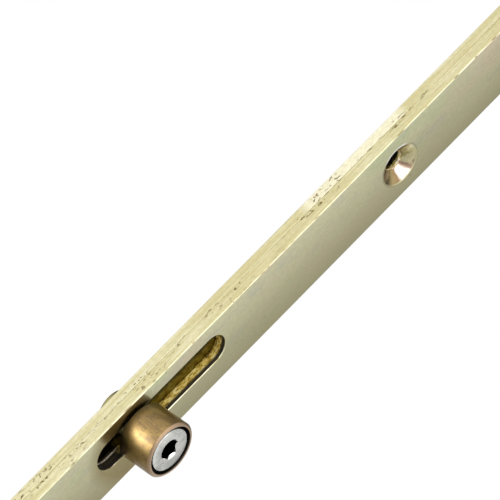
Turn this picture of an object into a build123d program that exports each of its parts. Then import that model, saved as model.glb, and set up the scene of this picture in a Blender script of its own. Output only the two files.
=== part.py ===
from build123d import *
from math import acos, asin, atan2, cos, degrees, pi, radians, sin, sqrt, tan
import os

# A multipoint door lock: a long faceplate, a drive rail that slides behind it and carries
# two roller cams, and a lock case with a latch, a deadbolt, a follower and a key gear.
# X runs across the thickness of the door, the faceplate looks along -Y, and Z is up.
# The origin is on the faceplate's front, in its middle, at the height of the handle spindle.

# Faceplate
plate_width = 20.0
plate_thickness = 3.0
plate_past_rail_top = 37.0
plate_past_rail_bottom = 30.0
slot_length = 44.2
slot_aside = -1.3
slot_side_gap = 0.35
slot_edge_break = 0.3
end_screw_inset = 12.0
screw_bore = 2.6
screw_head_radius = 5.7
screw_head_depth = 2.2
screw_shares_above_case = (0.31, 0.68)
screw_share_below_case = 0.27

# Drive rail
rail_travel = 18.0
rail_thickness = 2.5
rail_seam = 0.08
rail_past_upper_roller = 185.0
rail_past_lower_roller = 120.0
rail_case_gap = 4.0
screw_slot_clearance = 0.5

# Rail guides, riveted into the faceplate
guide_shank = 3.0
guide_head = 5.0
guide_head_height = 1.6
guide_rivet_radius = 4.0
guide_rivet_depth = 1.0
guide_clearance = 0.15
guide_shares_above_case = (0.15, 0.48, 0.82)
guide_shares_below_case = (0.17, 0.55)
guide_past_upper_roller = 156.0
guide_above_lower_roller = 50.0
guide_past_lower_roller = 80.0

# Roller cams
upper_roller_height = 560.0
lower_roller_height = -520.0
slot_centre_above_roller = 8.1
screw_above_roller = 92.5
roller_radius = 7.5
roller_reach = 10.3
roller_face_gap = 0.5
roller_rim = 1.3
roller_edge_break = 0.25
stud_journal = 4.5
stud_shank = 4.0
stud_aside = slot_aside
stud_head_thickness = 2.4
stud_head_edge_break = 0.25
stud_head_side_gap = 0.3
stud_head_seat_gap = 0.1
stud_collar_radius = 5.5
stud_collar_gap = 0.1
hex_across_flats = 5.0
hex_depth = 4.0
hex_mouth_radius = 3.2
hex_mouth_depth = 0.4
foot_radius = 5.6
foot_height = 3.2
foot_rounding = 1.4

# Lock case
spindle_backset = 45.0
cylinder_drop = 92.0
case_thickness = 17.0
case_sheet = 1.3
case_above_latch = 11.0
case_below_cylinder = 32.0
case_behind_spindle = 16.0
case_corner = 1.2
post_radius = 3.5
guide_post_radius = 3.0
post_inset = 7.0
post_below_top = 7.4
post_above_bottom = 10.0
front_post_above_bottom = 24.0
middle_post_above_gear = 16.0
cover_screw_radius = 1.5
cover_screw_head = 2.8
cover_screw_length = 9.0
cover_screw_slot = 0.6
cylinder_round = 8.6
cylinder_leg_half = 5.2
cylinder_leg_reach = 24.6

# Screws between faceplate and case, with the threaded blocks that take them
case_screw_radius = 2.0
case_screw_head = 3.9
case_screw_head_depth = 1.9
case_screw_slot = 0.9
case_screw_above_bottom = 12.0
thread_block_height = 10.0
thread_block_depth = 10.0
thread_block_latch_gap = 4.0

# Drive slide in the case
slide_thickness = 1.6
slide_side_gap = 0.2
slide_flange_length = 24.0
slide_flange_width = 13.0
slide_flange_clear = 2.0
slide_web_depth = 9.0
slide_wall_clearance = 0.25
rivet_radius = 2.0
rivet_spacing = 12.0
rivet_head_radius = 3.2
rivet_head_height = 1.2
rivet_flush_gap = 0.05
cam_margin = 3.0

# Key gear and the rack that it drives
gear_module = 1.5
gear_teeth = 18
gear_pressure_angle = 20.0
gear_backlash = 0.2
gear_width = 5.0
gear_hub_radius = 6.5
gear_axle_radius = 4.0
gear_depth = 34.0
gear_above_cylinder = 26.0
gear_notch_width = 5.6
gear_notch_floor = 11.4
rack_teeth_above = 1
rack_teeth_below = 5
flank_points = 5

# Bolts
bolt_slide_gap = 0.2
bolt_guide_gap = 0.15
latch_tall = 26.0
latch_reach = 12.0
latch_travel = 11.5
latch_collar_lip = 2.0
latch_collar_rear = 10.0
latch_lip = 1.6
latch_rod_radius = 2.5
latch_rod_socket = 6.0
latch_guide_before_spindle = 9.0
latch_guide_thickness = 4.0
latch_guide_tall = 14.0
latch_hook_thickness = 3.0
latch_hook_half_width = 3.5
latch_hook_above_rod = 4.5
latch_rod_end = 1.2
deadbolt_tall = 21.0
deadbolt_above_gear = 3.0
deadbolt_front = 0.5
deadbolt_body_gap = 4.0
deadbolt_tail_tall = 10.0
deadbolt_rear_gap = 1.7
deadbolt_edge = 0.6
deadbolt_pin_radius = 2.5
deadbolt_pin_forward = 10.0
deadbolt_pin_socket = 4.0
bolt_post_cam_gap = 1.5

# Follower
spindle_square = 8.1
follower_radius = 9.2
follower_journal = 7.5
follower_side_gap = 0.3
follower_arm_length = 24.0
follower_arm_half = 2.6
follower_arm_tip = 3.0
follower_arm_half_width = 4.5
follower_hook_gap = 0.3
follower_rod_gap = 2.5
follower_lug_gap = 1.1
follower_lug_above = 2.5
follower_lug_below = 4.6
follower_lug_half_width = 3.5

# Springs
spring_wire = 0.45
latch_spring_radius = 3.7
latch_spring_turns = 8
follower_spring_radius = 2.3
follower_spring_turns = 7
follower_spring_gap = 0.95
follower_seat_tall = 2.0
follower_seat_gap = 1.0
spring_end_gap = 0.1

# Clearances and overruns
running_clearance = 0.05
sliding_clearance = 0.1
overrun = 1.0

# Places worked out from the sizes above: faceplate, rails and roller cams
rail_front = plate_thickness + rail_seam
rail_back = rail_front + rail_thickness
slot_half_width = stud_shank + slot_side_gap
roller_bore = stud_journal + running_clearance
stud_head_radius = roller_radius - roller_rim - stud_head_side_gap
roller_heights = {"upper": upper_roller_height, "lower": lower_roller_height}
rail_top = upper_roller_height + rail_past_upper_roller
rail_bottom = lower_roller_height - rail_past_lower_roller
plate_top = rail_top + plate_past_rail_top
plate_bottom = rail_bottom - plate_past_rail_bottom

# Places in the case, across its thickness
case_half = case_thickness / 2
inner_half = case_half - case_sheet
slide_low_x = slide_side_gap - inner_half
slide_high_x = slide_low_x + slide_thickness
bolt_half_width = -slide_high_x - bolt_slide_gap

# Places in the case, into the door
case_front = plate_thickness
case_back = spindle_backset + case_behind_spindle
inner_front = case_front + case_sheet
inner_back = case_back - case_sheet
gear_pitch_radius = gear_module * gear_teeth / 2
gear_outer_radius = gear_pitch_radius + gear_module
rack_line = gear_depth - gear_pitch_radius
rack_root = rack_line - 1.25 * gear_module
front_post_depth = (rail_back + rack_root) / 2
rear_post_depth = case_back - post_inset
deadbolt_pin_depth = deadbolt_pin_forward + rail_travel
cam_rear = deadbolt_pin_depth + deadbolt_pin_radius + cam_margin
bolt_post_depth = cam_rear + bolt_post_cam_gap + guide_post_radius
deadbolt_body_rear = bolt_post_depth - guide_post_radius - deadbolt_body_gap
deadbolt_tail_rear = inner_back - deadbolt_rear_gap
latch_guide_front = spindle_backset - latch_guide_before_spindle - latch_guide_thickness
follower_lug_reach = inner_back - follower_lug_gap - spindle_backset
follower_spring_depth = inner_back - follower_spring_gap - spring_wire - follower_spring_radius

# Places in the case, up and down
latch_height = follower_arm_length + follower_arm_tip + follower_rod_gap + latch_rod_radius
latch_collar_tall = latch_tall + 2 * latch_collar_lip
case_top = latch_height + latch_collar_tall / 2 + case_above_latch
case_bottom = -cylinder_drop - case_below_cylinder
case_screw_lower = case_bottom + case_screw_above_bottom
thread_block_top = latch_height - latch_collar_tall / 2 - thread_block_latch_gap
case_screw_upper = thread_block_top - thread_block_height / 2
gear_height = gear_above_cylinder - cylinder_drop
deadbolt_height = gear_height + gear_outer_radius + deadbolt_above_gear + deadbolt_tall / 2
follower_seat_height = (
    deadbolt_height + deadbolt_tail_tall / 2 + follower_seat_gap + follower_seat_tall
)
cover_posts = [
    (front_post_depth, case_top - post_below_top, guide_post_radius),
    (front_post_depth, case_bottom + front_post_above_bottom, guide_post_radius),
    (rear_post_depth, case_top - post_below_top, post_radius),
    (rear_post_depth, gear_height + middle_post_above_gear, post_radius),
    (rear_post_depth, case_bottom + post_above_bottom, post_radius),
]

# Turns of the moving pieces
key_turn = rail_travel / gear_pitch_radius
follower_turn = 2 * degrees(asin(latch_travel / 2 / follower_arm_length))

# Screws and guides along the faceplate, shared out between the case and the rollers
span_above_case = upper_roller_height - case_top
span_below_case = case_bottom - lower_roller_height
screw_heights = [
    plate_top - end_screw_inset,
    upper_roller_height + screw_above_roller,
    lower_roller_height + screw_above_roller,
    plate_bottom + end_screw_inset,
    case_bottom - screw_share_below_case * span_below_case,
]
screw_heights += [case_top + share * span_above_case for share in screw_shares_above_case]
guide_heights = [
    upper_roller_height + guide_past_upper_roller,
    lower_roller_height + guide_above_lower_roller,
    lower_roller_height - guide_past_lower_roller,
]
guide_heights += [case_top + share * span_above_case for share in guide_shares_above_case]
guide_heights += [case_bottom - share * span_below_case for share in guide_shares_below_case]


# Shapes that several pieces share
def block(x, y, z):
    """A box given by its low and high places along each axis."""
    middle = [(low + high) / 2 for low, high in (x, y, z)]
    return Pos(*middle) * Box(x[1] - x[0], y[1] - y[0], z[1] - z[0])


def bar_y(radius, low, high, height=0, across=0):
    """A round bar along Y."""
    return Pos(across, (low + high) / 2, height) * Rot(-90, 0, 0) * Cylinder(radius, high - low)


def cone_y(low_radius, high_radius, low, high, height=0):
    """A cone along Y."""
    body = Cone(low_radius, high_radius, high - low)
    return Pos(0, (low + high) / 2, height) * Rot(-90, 0, 0) * body


def bar_x(radius, low, high, depth, height):
    """A round bar along X."""
    return Pos((low + high) / 2, depth, height) * Rot(0, 90, 0) * Cylinder(radius, high - low)


def cone_x(low_radius, high_radius, low, high, depth, height):
    """A cone along X."""
    body = Cone(low_radius, high_radius, high - low)
    return Pos((low + high) / 2, depth, height) * Rot(0, 90, 0) * body


def slot_y(half_width, front, back, bottom, top, across=0):
    """The upright slot shape that a cut along Y leaves."""
    sides = (across - half_width, across + half_width)
    middle = block(sides, (front, back), (bottom + half_width, top - half_width))
    low_end = bar_y(half_width, front, back, bottom + half_width, across)
    high_end = bar_y(half_width, front, back, top - half_width, across)
    return middle + low_end + high_end


def strip(front, back, bottom, top, round_bottom, round_top):
    """A flat strip as wide as the faceplate, with the ends that the caller asks for round."""
    half = plate_width / 2
    low = bottom + half if round_bottom else bottom
    high = top - half if round_top else top
    shape = block((-half, half), (front, back), (low, high))
    if round_bottom:
        shape += bar_y(half, front, back, low)
    if round_top:
        shape += bar_y(half, front, back, high)
    return shape


def side_profile(points, low, high):
    """A plate cut to an outline of depths and heights, between two places along X."""
    face = make_face(Polyline(*points, close=True).edges())
    return Pos(low, 0, 0) * extrude(Plane.YZ * face, high - low)


def coil(radius, length, turns):
    """A compression spring that stands on Z = 0 with its wire inside the given length."""
    pitch = (length - 2 * spring_wire) / turns
    path = Helix(pitch, length - 2 * spring_wire, radius)
    section = Plane(path @ 0, z_dir=path % 0) * Circle(spring_wire)
    print("least gap between curls, mm:", round(pitch - 2 * spring_wire, 2))
    return Pos(0, 0, spring_wire) * sweep(section, path)


# Faceplate and rails
def faceplate():
    plate = strip(0, plate_thickness, plate_bottom, plate_top, True, True)
    for height in roller_heights.values():
        middle = height + slot_centre_above_roller
        bottom = middle - slot_length / 2
        top = middle + slot_length / 2
        plate -= slot_y(
            slot_half_width, -overrun, plate_thickness + overrun, bottom, top, slot_aside
        )
    front = plate.faces().sort_by(Axis.Y)[0]
    rims = [edge for wire in front.inner_wires() for edge in wire.edges()]
    plate = chamfer(rims, slot_edge_break)
    for height in screw_heights:
        plate -= bar_y(screw_bore, -overrun, plate_thickness + overrun, height)
        plate -= cone_y(screw_head_radius, screw_bore, 0, screw_head_depth, height)
    for height in guide_heights:
        plate -= guide_rivet(height)
    for height in (case_screw_upper, case_screw_lower):
        plate -= case_screw_body(height)
    return plate - bolt_openings(-overrun, plate_thickness + overrun)


def bolt_openings(front, back):
    """The space of the latch and deadbolt openings between two depths."""
    half = bolt_half_width + bolt_guide_gap
    openings = Part()
    for height, tall in ((latch_height, latch_tall), (deadbolt_height, deadbolt_tall)):
        reach = tall / 2 + bolt_guide_gap
        openings += block((-half, half), (front, back), (height - reach, height + reach))
    return openings


def guide_rivet(height):
    """The end of a rail guide, riveted flush into a countersink in the faceplate."""
    rivet = cone_y(guide_rivet_radius, guide_shank, 0, guide_rivet_depth, height)
    return rivet + bar_y(guide_shank, 0, plate_thickness, height)


def rail_guides():
    guides = []
    head_front = rail_back + sliding_clearance
    head_back = head_front + guide_head_height
    for height in guide_heights:
        shank = bar_y(guide_shank, 0, head_front, height)
        head = bar_y(guide_head, head_front, head_back, height)
        guides.append(guide_rivet(height) + shank + head)
    return Compound(children=guides)


def rail(bottom, top, round_bottom, round_top, stud_height, rivet_heights):
    """One drive rail, with slots where the guides and the faceplate's screws pass through it."""
    shape = strip(rail_front, rail_back, bottom, top, round_bottom, round_top)
    front = rail_front - overrun
    back = rail_back + overrun
    passing = [(height, guide_shank + guide_clearance) for height in guide_heights]
    passing += [(height, screw_bore + screw_slot_clearance) for height in screw_heights]
    for height, half in passing:
        if bottom < height < top:
            shape -= slot_y(half, front, back, height - rail_travel - half, height + half)
    shape -= bar_y(stud_shank + running_clearance, front, back, stud_height, stud_aside)
    for height in rivet_heights:
        shape -= bar_y(rivet_radius, front, back, height)
    return shape


upper_rail_end = case_top + rail_case_gap
lower_rail_end = case_bottom - rail_travel - rail_case_gap
upper_rivets = [
    upper_rail_end + slide_flange_clear + slide_flange_length / 2 + side * rivet_spacing / 2
    for side in (-1, 1)
]
lower_rivets = [
    lower_rail_end - slide_flange_clear - slide_flange_length / 2 + side * rivet_spacing / 2
    for side in (-1, 1)
]


def upper_rail():
    return rail(upper_rail_end, rail_top, False, True, upper_roller_height, upper_rivets)


def lower_rail():
    return rail(rail_bottom, lower_rail_end, True, False, lower_roller_height, lower_rivets)


def rail_rivets():
    """Rivets that join the slide's flanges to the rails, flush at the faceplate's side."""
    back = rail_back + slide_thickness
    rivets = []
    for height in upper_rivets + lower_rivets:
        shank = bar_y(rivet_radius, rail_front + rivet_flush_gap, back, height)
        head = bar_y(rivet_head_radius, back, back + rivet_head_height, height)
        rim = head.edges().sort_by(Axis.Y)[-1]
        rivets.append(shank + fillet(rim, rivet_head_height / 2))
    return Compound(children=rivets)


# Roller cams
def roller_stud(height):
    """The eccentric stud that carries a roller. A hex key turns it in the rail."""
    head_front = -roller_reach
    head_back = head_front + stud_head_thickness
    head = bar_y(stud_head_radius, head_front, head_back, height)
    head = chamfer(head.edges().sort_by(Axis.Y)[0], stud_head_edge_break)
    journal = bar_y(stud_journal, head_back, -roller_face_gap + running_clearance, height)
    collar_front = -roller_face_gap + running_clearance
    collar = bar_y(stud_collar_radius, collar_front, -stud_collar_gap, height)
    foot_back = rail_back + running_clearance + foot_height
    shank = bar_y(stud_shank, -stud_collar_gap, foot_back, height, stud_aside)
    hexagon = RegularPolygon(hex_across_flats / 2, 6, major_radius=False)
    socket_plane = Plane((0, head_front, height), x_dir=(1, 0, 0), z_dir=(0, 1, 0))
    socket = extrude(socket_plane * hexagon, hex_depth)
    mouth = cone_y(
        hex_mouth_radius, hex_across_flats / 2, head_front, head_front + hex_mouth_depth, height
    )
    return head + journal + collar + shank - socket - mouth


def stud_foot(height):
    """The rounded foot that holds a stud behind its rail."""
    front = rail_back + running_clearance
    foot = bar_y(foot_radius, front, front + foot_height, height, stud_aside)
    foot = fillet(foot.edges().sort_by(Axis.Y)[-1], foot_rounding)
    return foot - bar_y(
        stud_shank, front - overrun, front + foot_height + overrun, height, stud_aside
    )


def roller(height):
    body = bar_y(roller_radius, -roller_reach, -roller_face_gap, height)
    body = chamfer(body.edges().filter_by(GeomType.CIRCLE), roller_edge_break)
    seat = -roller_reach + stud_head_thickness + stud_head_seat_gap
    body -= bar_y(roller_bore, -roller_reach - overrun, 0, height)
    recess = stud_head_radius + stud_head_side_gap
    return body - bar_y(recess, -roller_reach - overrun, seat, height)


# Lock case
def cylinder_hole(low, high):
    """The profile-cylinder hole through one wall: a round head over a narrow leg."""
    hole = bar_x(cylinder_round, low, high, spindle_backset, -cylinder_drop)
    leg_end = -cylinder_drop - cylinder_leg_reach + cylinder_leg_half
    sides = (spindle_backset - cylinder_leg_half, spindle_backset + cylinder_leg_half)
    hole += block((low, high), sides, (leg_end, -cylinder_drop))
    return hole + bar_x(cylinder_leg_half, low, high, spindle_backset, leg_end)


def wall_holes(low, high):
    """The holes that both side walls of the case share."""
    follower = follower_journal + running_clearance
    hole = bar_x(follower, low, high, spindle_backset, 0)
    return hole + cylinder_hole(low, high)


def case_outline(low, high):
    """The case's outline between two places along X, with its rear corners rounded."""
    shape = block((low, high), (case_front, case_back), (case_bottom, case_top))
    rear = shape.edges().filter_by(Axis.X).group_by(Axis.Y)[-1]
    return fillet(rear, case_corner)


def case_body():
    """The tray of the case: one side wall with the four walls that stand up from it."""
    shell = case_outline(-case_half, inner_half)
    shell -= block(
        (-inner_half, inner_half + overrun),
        (inner_front, inner_back),
        (case_bottom + case_sheet, case_top - case_sheet),
    )
    shell -= wall_holes(-case_half - overrun, -inner_half + overrun)
    shell -= bolt_openings(case_front - overrun, inner_front + overrun)
    web = (rail_back - slide_wall_clearance, rack_root + slide_wall_clearance)
    gap = (slide_low_x - slide_wall_clearance / 2, slide_high_x + slide_wall_clearance)
    shell -= block(gap, web, (case_bottom - overrun, case_bottom + case_sheet + overrun))
    shell -= block(gap, web, (case_top - case_sheet - overrun, case_top + overrun))
    for height in (case_screw_upper, case_screw_lower):
        shell -= case_screw_body(height)
    return shell


def case_cover():
    cover = case_outline(inner_half, case_half)
    cover -= wall_holes(inner_half - overrun, case_half + overrun)
    for depth, height, _ in cover_posts:
        cover -= cover_screw_body(depth, height)
    return cover


def cover_screw_body(depth, height):
    """A countersunk screw, solid, whose head is flush with the cover."""
    head = cone_x(cover_screw_radius, cover_screw_head, inner_half, case_half, depth, height)
    shank = bar_x(cover_screw_radius, case_half - cover_screw_length, case_half, depth, height)
    return head + shank


def cover_screws():
    screws = []
    for depth, height, _ in cover_posts:
        half = cover_screw_slot / 2
        slot = block(
            (case_half - cover_screw_slot, case_half + overrun),
            (depth - cover_screw_head, depth + cover_screw_head),
            (height - half, height + half),
        )
        screws.append(cover_screw_body(depth, height) - slot)
    return Compound(children=screws)


def case_posts():
    posts = []
    for depth, height, radius in cover_posts:
        post = bar_x(radius, -inner_half, inner_half, depth, height)
        posts.append(post - cover_screw_body(depth, height))
    return Compound(children=posts)


def bolt_guide_posts():
    """Two posts that the deadbolt's tail runs between."""
    reach = deadbolt_tail_tall / 2 + sliding_clearance + guide_post_radius
    return Compound(children=[
        bar_x(guide_post_radius, -inner_half, inner_half, bolt_post_depth, deadbolt_height + side * reach)
        for side in (-1, 1)
    ])


def case_screw_body(height):
    """A countersunk screw, solid, from the faceplate into its threaded block."""
    head = cone_y(case_screw_head, case_screw_radius, 0, case_screw_head_depth, height)
    shank = bar_y(case_screw_radius, 0, inner_front + thread_block_depth, height)
    return head + shank


def case_screws():
    screws = []
    for height in (case_screw_upper, case_screw_lower):
        half = case_screw_slot / 2
        slot = block(
            (-case_screw_head, case_screw_head),
            (-overrun, case_screw_slot),
            (height - half, height + half),
        )
        screws.append(case_screw_body(height) - slot)
    return Compound(children=screws)


def thread_blocks():
    """Threaded blocks behind the case's front wall that the case screws pull on."""
    blocks = []
    for height in (case_screw_upper, case_screw_lower):
        body = block(
            (-bolt_half_width, inner_half),
            (inner_front, inner_front + thread_block_depth),
            (height - thread_block_height / 2, height + thread_block_height / 2),
        )
        blocks.append(body - case_screw_body(height))
    return Compound(children=blocks)


# Drive slide and key gear
def rack():
    """The slide's rack teeth, as trapezoids that start in the slide's edge."""
    pitch = pi * gear_module
    slope = tan(radians(gear_pressure_angle))
    tip = pitch / 4 - gear_module * slope
    root = pitch / 4 + (rack_line - rack_root) * slope
    teeth = Part()
    for number in range(-rack_teeth_above, rack_teeth_below + 1):
        height = gear_height - number * pitch
        outline = [
            (rack_root, height - root),
            (rack_line + gear_module, height - tip),
            (rack_line + gear_module, height + tip),
            (rack_root, height + root),
        ]
        teeth += side_profile(outline, slide_low_x, slide_high_x)
    return teeth


def drive_slide():
    """The plate that the key gear lifts. It throws the deadbolt and carries both rails."""
    upper_bottom = upper_rail_end + slide_flange_clear
    upper_flange = (upper_bottom, upper_bottom + slide_flange_length)
    lower_top = lower_rail_end - slide_flange_clear
    lower_flange = (lower_top - slide_flange_length, lower_top)
    layer = (slide_low_x, slide_high_x)
    web_rear = rail_back + slide_web_depth
    slide = block(layer, (rail_back, web_rear), (lower_flange[0], upper_flange[1]))
    inside = (case_bottom + case_sheet + sliding_clearance, case_top - case_sheet - rail_travel)
    slide += block(layer, (rail_back, rack_root), inside)
    flange_x = (slide_low_x, slide_low_x + slide_flange_width)
    for bottom, top in (upper_flange, lower_flange):
        slide += block(flange_x, (rail_back, rail_back + slide_thickness), (bottom, top))
    slide += rack() + cam_plate()
    for height in upper_rivets + lower_rivets:
        slide -= bar_y(rivet_radius, rail_back - overrun, web_rear, height)
    for depth, height, _ in cover_posts:
        if depth == front_post_depth:
            slide -= post_slot(height)
    return slide - cam_slot()


def post_slot(height):
    """The upright slot that lets the slide rise past a post."""
    half = guide_post_radius + sliding_clearance
    layer = (slide_low_x - overrun, slide_high_x + overrun)
    sides = (front_post_depth - half, front_post_depth + half)
    slot = block(layer, sides, (height - rail_travel, height))
    slot += bar_x(half, *layer, front_post_depth, height)
    return slot + bar_x(half, *layer, front_post_depth, height - rail_travel)


def cam_plate():
    """The wide stretch of the slide that holds the sloping slot."""
    top = deadbolt_height + deadbolt_pin_radius + cam_margin
    turn = deadbolt_height - cam_margin
    outline = [
        (rail_back, top),
        (cam_rear, top),
        (cam_rear, turn),
        (rack_root, turn - cam_rear + rack_root),
        (rail_back, turn - cam_rear + rack_root),
    ]
    return side_profile(outline, slide_low_x, slide_high_x)


def cam_slot():
    """The slot at 45 degrees that turns the slide's lift into the deadbolt's throw."""
    half = deadbolt_pin_radius + sliding_clearance
    low = slide_low_x - overrun
    high = slide_high_x + overrun
    start = (deadbolt_pin_depth, deadbolt_height)
    end = (deadbolt_pin_depth - rail_travel, deadbolt_height - rail_travel)
    off = half / sqrt(2)
    outline = [
        (start[0] - off, start[1] + off),
        (start[0] + off, start[1] - off),
        (end[0] + off, end[1] - off),
        (end[0] - off, end[1] + off),
    ]
    slot = side_profile(outline, low, high)
    return slot + bar_x(half, low, high, *start) + bar_x(half, low, high, *end)


def gear_outline():
    """The points of an involute gear about the key gear's axle, with a gap that faces the rack."""
    base = gear_pitch_radius * cos(radians(gear_pressure_angle))
    root = gear_pitch_radius - 1.25 * gear_module
    involute = lambda radius: tan(acos(base / radius)) - acos(base / radius)
    half_pitch = (pi * gear_module / 2 - gear_backlash) / 2 / gear_pitch_radius
    flank = []
    for number in range(flank_points + 1):
        radius = base + (gear_outer_radius - base) * number / flank_points
        angle = half_pitch + involute(gear_pitch_radius) - involute(radius)
        flank.append((radius, angle))
    points = []
    for tooth in range(gear_teeth):
        middle = pi + (tooth + 0.5) * 2 * pi / gear_teeth
        side = [(root, flank[0][1])] + flank
        around = [(r, middle - a) for r, a in side] + [(r, middle + a) for r, a in reversed(side)]
        points += [
            (gear_depth + r * cos(a), gear_height + r * sin(a)) for r, a in around
        ]
    return points


def gear_notch_outline(middle):
    """One of the wide notches that the cylinder's cam reaches into, with sides that spread outwards."""
    half = gear_notch_width / 2 / gear_pitch_radius
    outer = gear_outer_radius + overrun
    corners = [
        (gear_notch_floor, middle - half),
        (outer, middle - half),
        (outer, middle + half),
        (gear_notch_floor, middle + half),
    ]
    return [(gear_depth + r * cos(a), gear_height + r * sin(a)) for r, a in corners]


def key_gear():
    """The gear that the key cylinder's cam turns, one notch for each turn of the key."""
    low = slide_low_x
    gear = side_profile(gear_outline(), low, low + gear_width)
    hub_end = inner_half - slide_side_gap
    gear += bar_x(gear_hub_radius, low, hub_end, gear_depth, gear_height)
    facing = atan2(-gear_above_cylinder, spindle_backset - gear_depth)
    for number in range(3):
        outline = gear_notch_outline(facing + number * key_turn / 2)
        gear -= side_profile(outline, low - overrun, low + gear_width + overrun)
    bore = gear_axle_radius + running_clearance
    return gear - bar_x(bore, low - overrun, hub_end + overrun, gear_depth, gear_height)


def gear_axle():
    return bar_x(gear_axle_radius, -inner_half, inner_half, gear_depth, gear_height)


# Latch
def latch_bolt():
    """The sprung latch, sloped on the side that meets the strike."""
    half = bolt_half_width
    low = latch_height - latch_tall / 2
    high = latch_height + latch_tall / 2
    body = block((-half, half), (-latch_reach, latch_collar_rear), (low, high))
    slope = [(-half, -latch_lip), (half, -latch_reach + latch_lip / 2)]
    outline = [
        slope[0],
        slope[1],
        (half, -latch_reach - overrun),
        (-half - overrun, -latch_reach - overrun),
        (-half - overrun, -latch_lip),
    ]
    cut = extrude(make_face(Polyline(*outline, close=True).edges()), high - low + 2 * overrun)
    body -= Pos(0, 0, low - overrun) * cut
    collar = block(
        (-half, half),
        (inner_front + sliding_clearance, latch_collar_rear),
        (latch_height - latch_collar_tall / 2, latch_height + latch_collar_tall / 2),
    )
    socket = bar_y(
        latch_rod_radius, latch_collar_rear - latch_rod_socket, latch_collar_rear + overrun, latch_height
    )
    return body + collar - socket


def hook_front():
    """Where the latch hook's face stands at rest, just behind the follower's arm."""
    tip = spindle_backset - latch_travel / 2
    return tip + follower_arm_tip + follower_hook_gap


def latch_rod():
    end = hook_front() + latch_hook_thickness + latch_rod_end
    return bar_y(latch_rod_radius, latch_collar_rear - latch_rod_socket, end, latch_height)


def latch_hook():
    """The plate at the rod's end that the follower's arm pushes back."""
    front = hook_front()
    bottom = follower_arm_length * cos(radians(follower_turn / 2)) - follower_hook_gap
    plate = block(
        (-latch_hook_half_width, latch_hook_half_width),
        (front, front + latch_hook_thickness),
        (bottom, latch_height + latch_hook_above_rod),
    )
    return plate - bar_y(latch_rod_radius, front - overrun, front + latch_hook_thickness + overrun, latch_height)


def latch_guide():
    """The bracket that guides the latch rod and takes the push of the latch spring."""
    half = latch_guide_tall / 2
    back = latch_guide_front + latch_guide_thickness
    body = block(
        (-inner_half, inner_half),
        (latch_guide_front, back),
        (latch_height - half, latch_height + half),
    )
    bore = latch_rod_radius + running_clearance
    return body - bar_y(bore, latch_guide_front - overrun, back + overrun, latch_height)


def latch_spring():
    length = latch_guide_front - latch_collar_rear - 2 * spring_end_gap
    spring = coil(latch_spring_radius, length, latch_spring_turns)
    return Pos(0, latch_collar_rear + spring_end_gap, latch_height) * Rot(-90, 0, 0) * spring


# Deadbolt
def deadbolt():
    half = bolt_half_width
    low = deadbolt_height - deadbolt_tall / 2
    high = deadbolt_height + deadbolt_tall / 2
    head = block((-half, half), (deadbolt_front, deadbolt_body_rear), (low, high))
    head = chamfer(head.faces().sort_by(Axis.Y)[0].edges(), deadbolt_edge)
    tail_half = deadbolt_tail_tall / 2
    tail = block(
        (-half, half),
        (deadbolt_body_rear, deadbolt_tail_rear),
        (deadbolt_height - tail_half, deadbolt_height + tail_half),
    )
    return head + tail - deadbolt_pin()


def deadbolt_pin():
    """The pin on the deadbolt's side that runs in the slide's sloping slot."""
    return bar_x(
        deadbolt_pin_radius,
        slide_low_x,
        deadbolt_pin_socket - bolt_half_width,
        deadbolt_pin_depth,
        deadbolt_height,
    )


# Follower
def follower():
    """The part that the handle's spindle turns. Its arm draws back the latch."""
    half = inner_half - follower_side_gap
    body = bar_x(follower_radius, -half, half, spindle_backset, 0)
    body += bar_x(follower_journal, -case_half, case_half, spindle_backset, 0)
    rest = follower_turn / 2
    arm_x = (-follower_arm_half_width, follower_arm_half_width)
    arm = block(arm_x, (-follower_arm_half, follower_arm_half), (0, follower_arm_length))
    arm += bar_x(follower_arm_tip, *arm_x, 0, follower_arm_length)
    body += Pos(0, spindle_backset, 0) * Rot(rest, 0, 0) * arm
    body += block(
        (-follower_lug_half_width, follower_lug_half_width),
        (spindle_backset, spindle_backset + follower_lug_reach),
        (-follower_lug_below, follower_lug_above),
    )
    square = spindle_square / 2
    return body - block(
        (-case_half - overrun, case_half + overrun),
        (spindle_backset - square, spindle_backset + square),
        (-square, square),
    )


def follower_spring():
    length = -follower_lug_below - follower_seat_height - 2 * spring_end_gap
    spring = coil(follower_spring_radius, length, follower_spring_turns)
    return Pos(0, follower_spring_depth, follower_seat_height + spring_end_gap) * spring


def spring_seat():
    """The ledge on the case's rear wall that the follower spring stands on."""
    reach = follower_spring_radius + spring_wire
    return block(
        (-inner_half, inner_half),
        (follower_spring_depth - reach, inner_back),
        (follower_seat_height - follower_seat_tall, follower_seat_height),
    )


pieces = {
    "faceplate": faceplate(),
    "rail_guides": rail_guides(),
    "upper_rail": upper_rail(),
    "lower_rail": lower_rail(),
    "rail_rivets": rail_rivets(),
    "case_body": case_body(),
    "case_cover": case_cover(),
    "case_posts": case_posts(),
    "bolt_guide_posts": bolt_guide_posts(),
    "cover_screws": cover_screws(),
    "case_screws": case_screws(),
    "thread_blocks": thread_blocks(),
    "drive_slide": drive_slide(),
    "key_gear": key_gear(),
    "gear_axle": gear_axle(),
    "latch_bolt": latch_bolt(),
    "latch_rod": latch_rod(),
    "latch_hook": latch_hook(),
    "latch_guide": latch_guide(),
    "latch_spring": latch_spring(),
    "deadbolt": deadbolt(),
    "deadbolt_pin": deadbolt_pin(),
    "follower": follower(),
    "follower_spring": follower_spring(),
    "spring_seat": spring_seat(),
}
for name, height in roller_heights.items():
    pieces[f"{name}_roller"] = roller(height)
    pieces[f"{name}_roller_stud"] = roller_stud(height)
    pieces[f"{name}_stud_foot"] = stud_foot(height)

os.makedirs("parts", exist_ok=True)
for name, shape in pieces.items():
    export_step(shape, f"parts/{name}.step")
print("key gear turns", round(degrees(key_turn), 3), "follower turns", round(follower_turn, 3))
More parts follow.
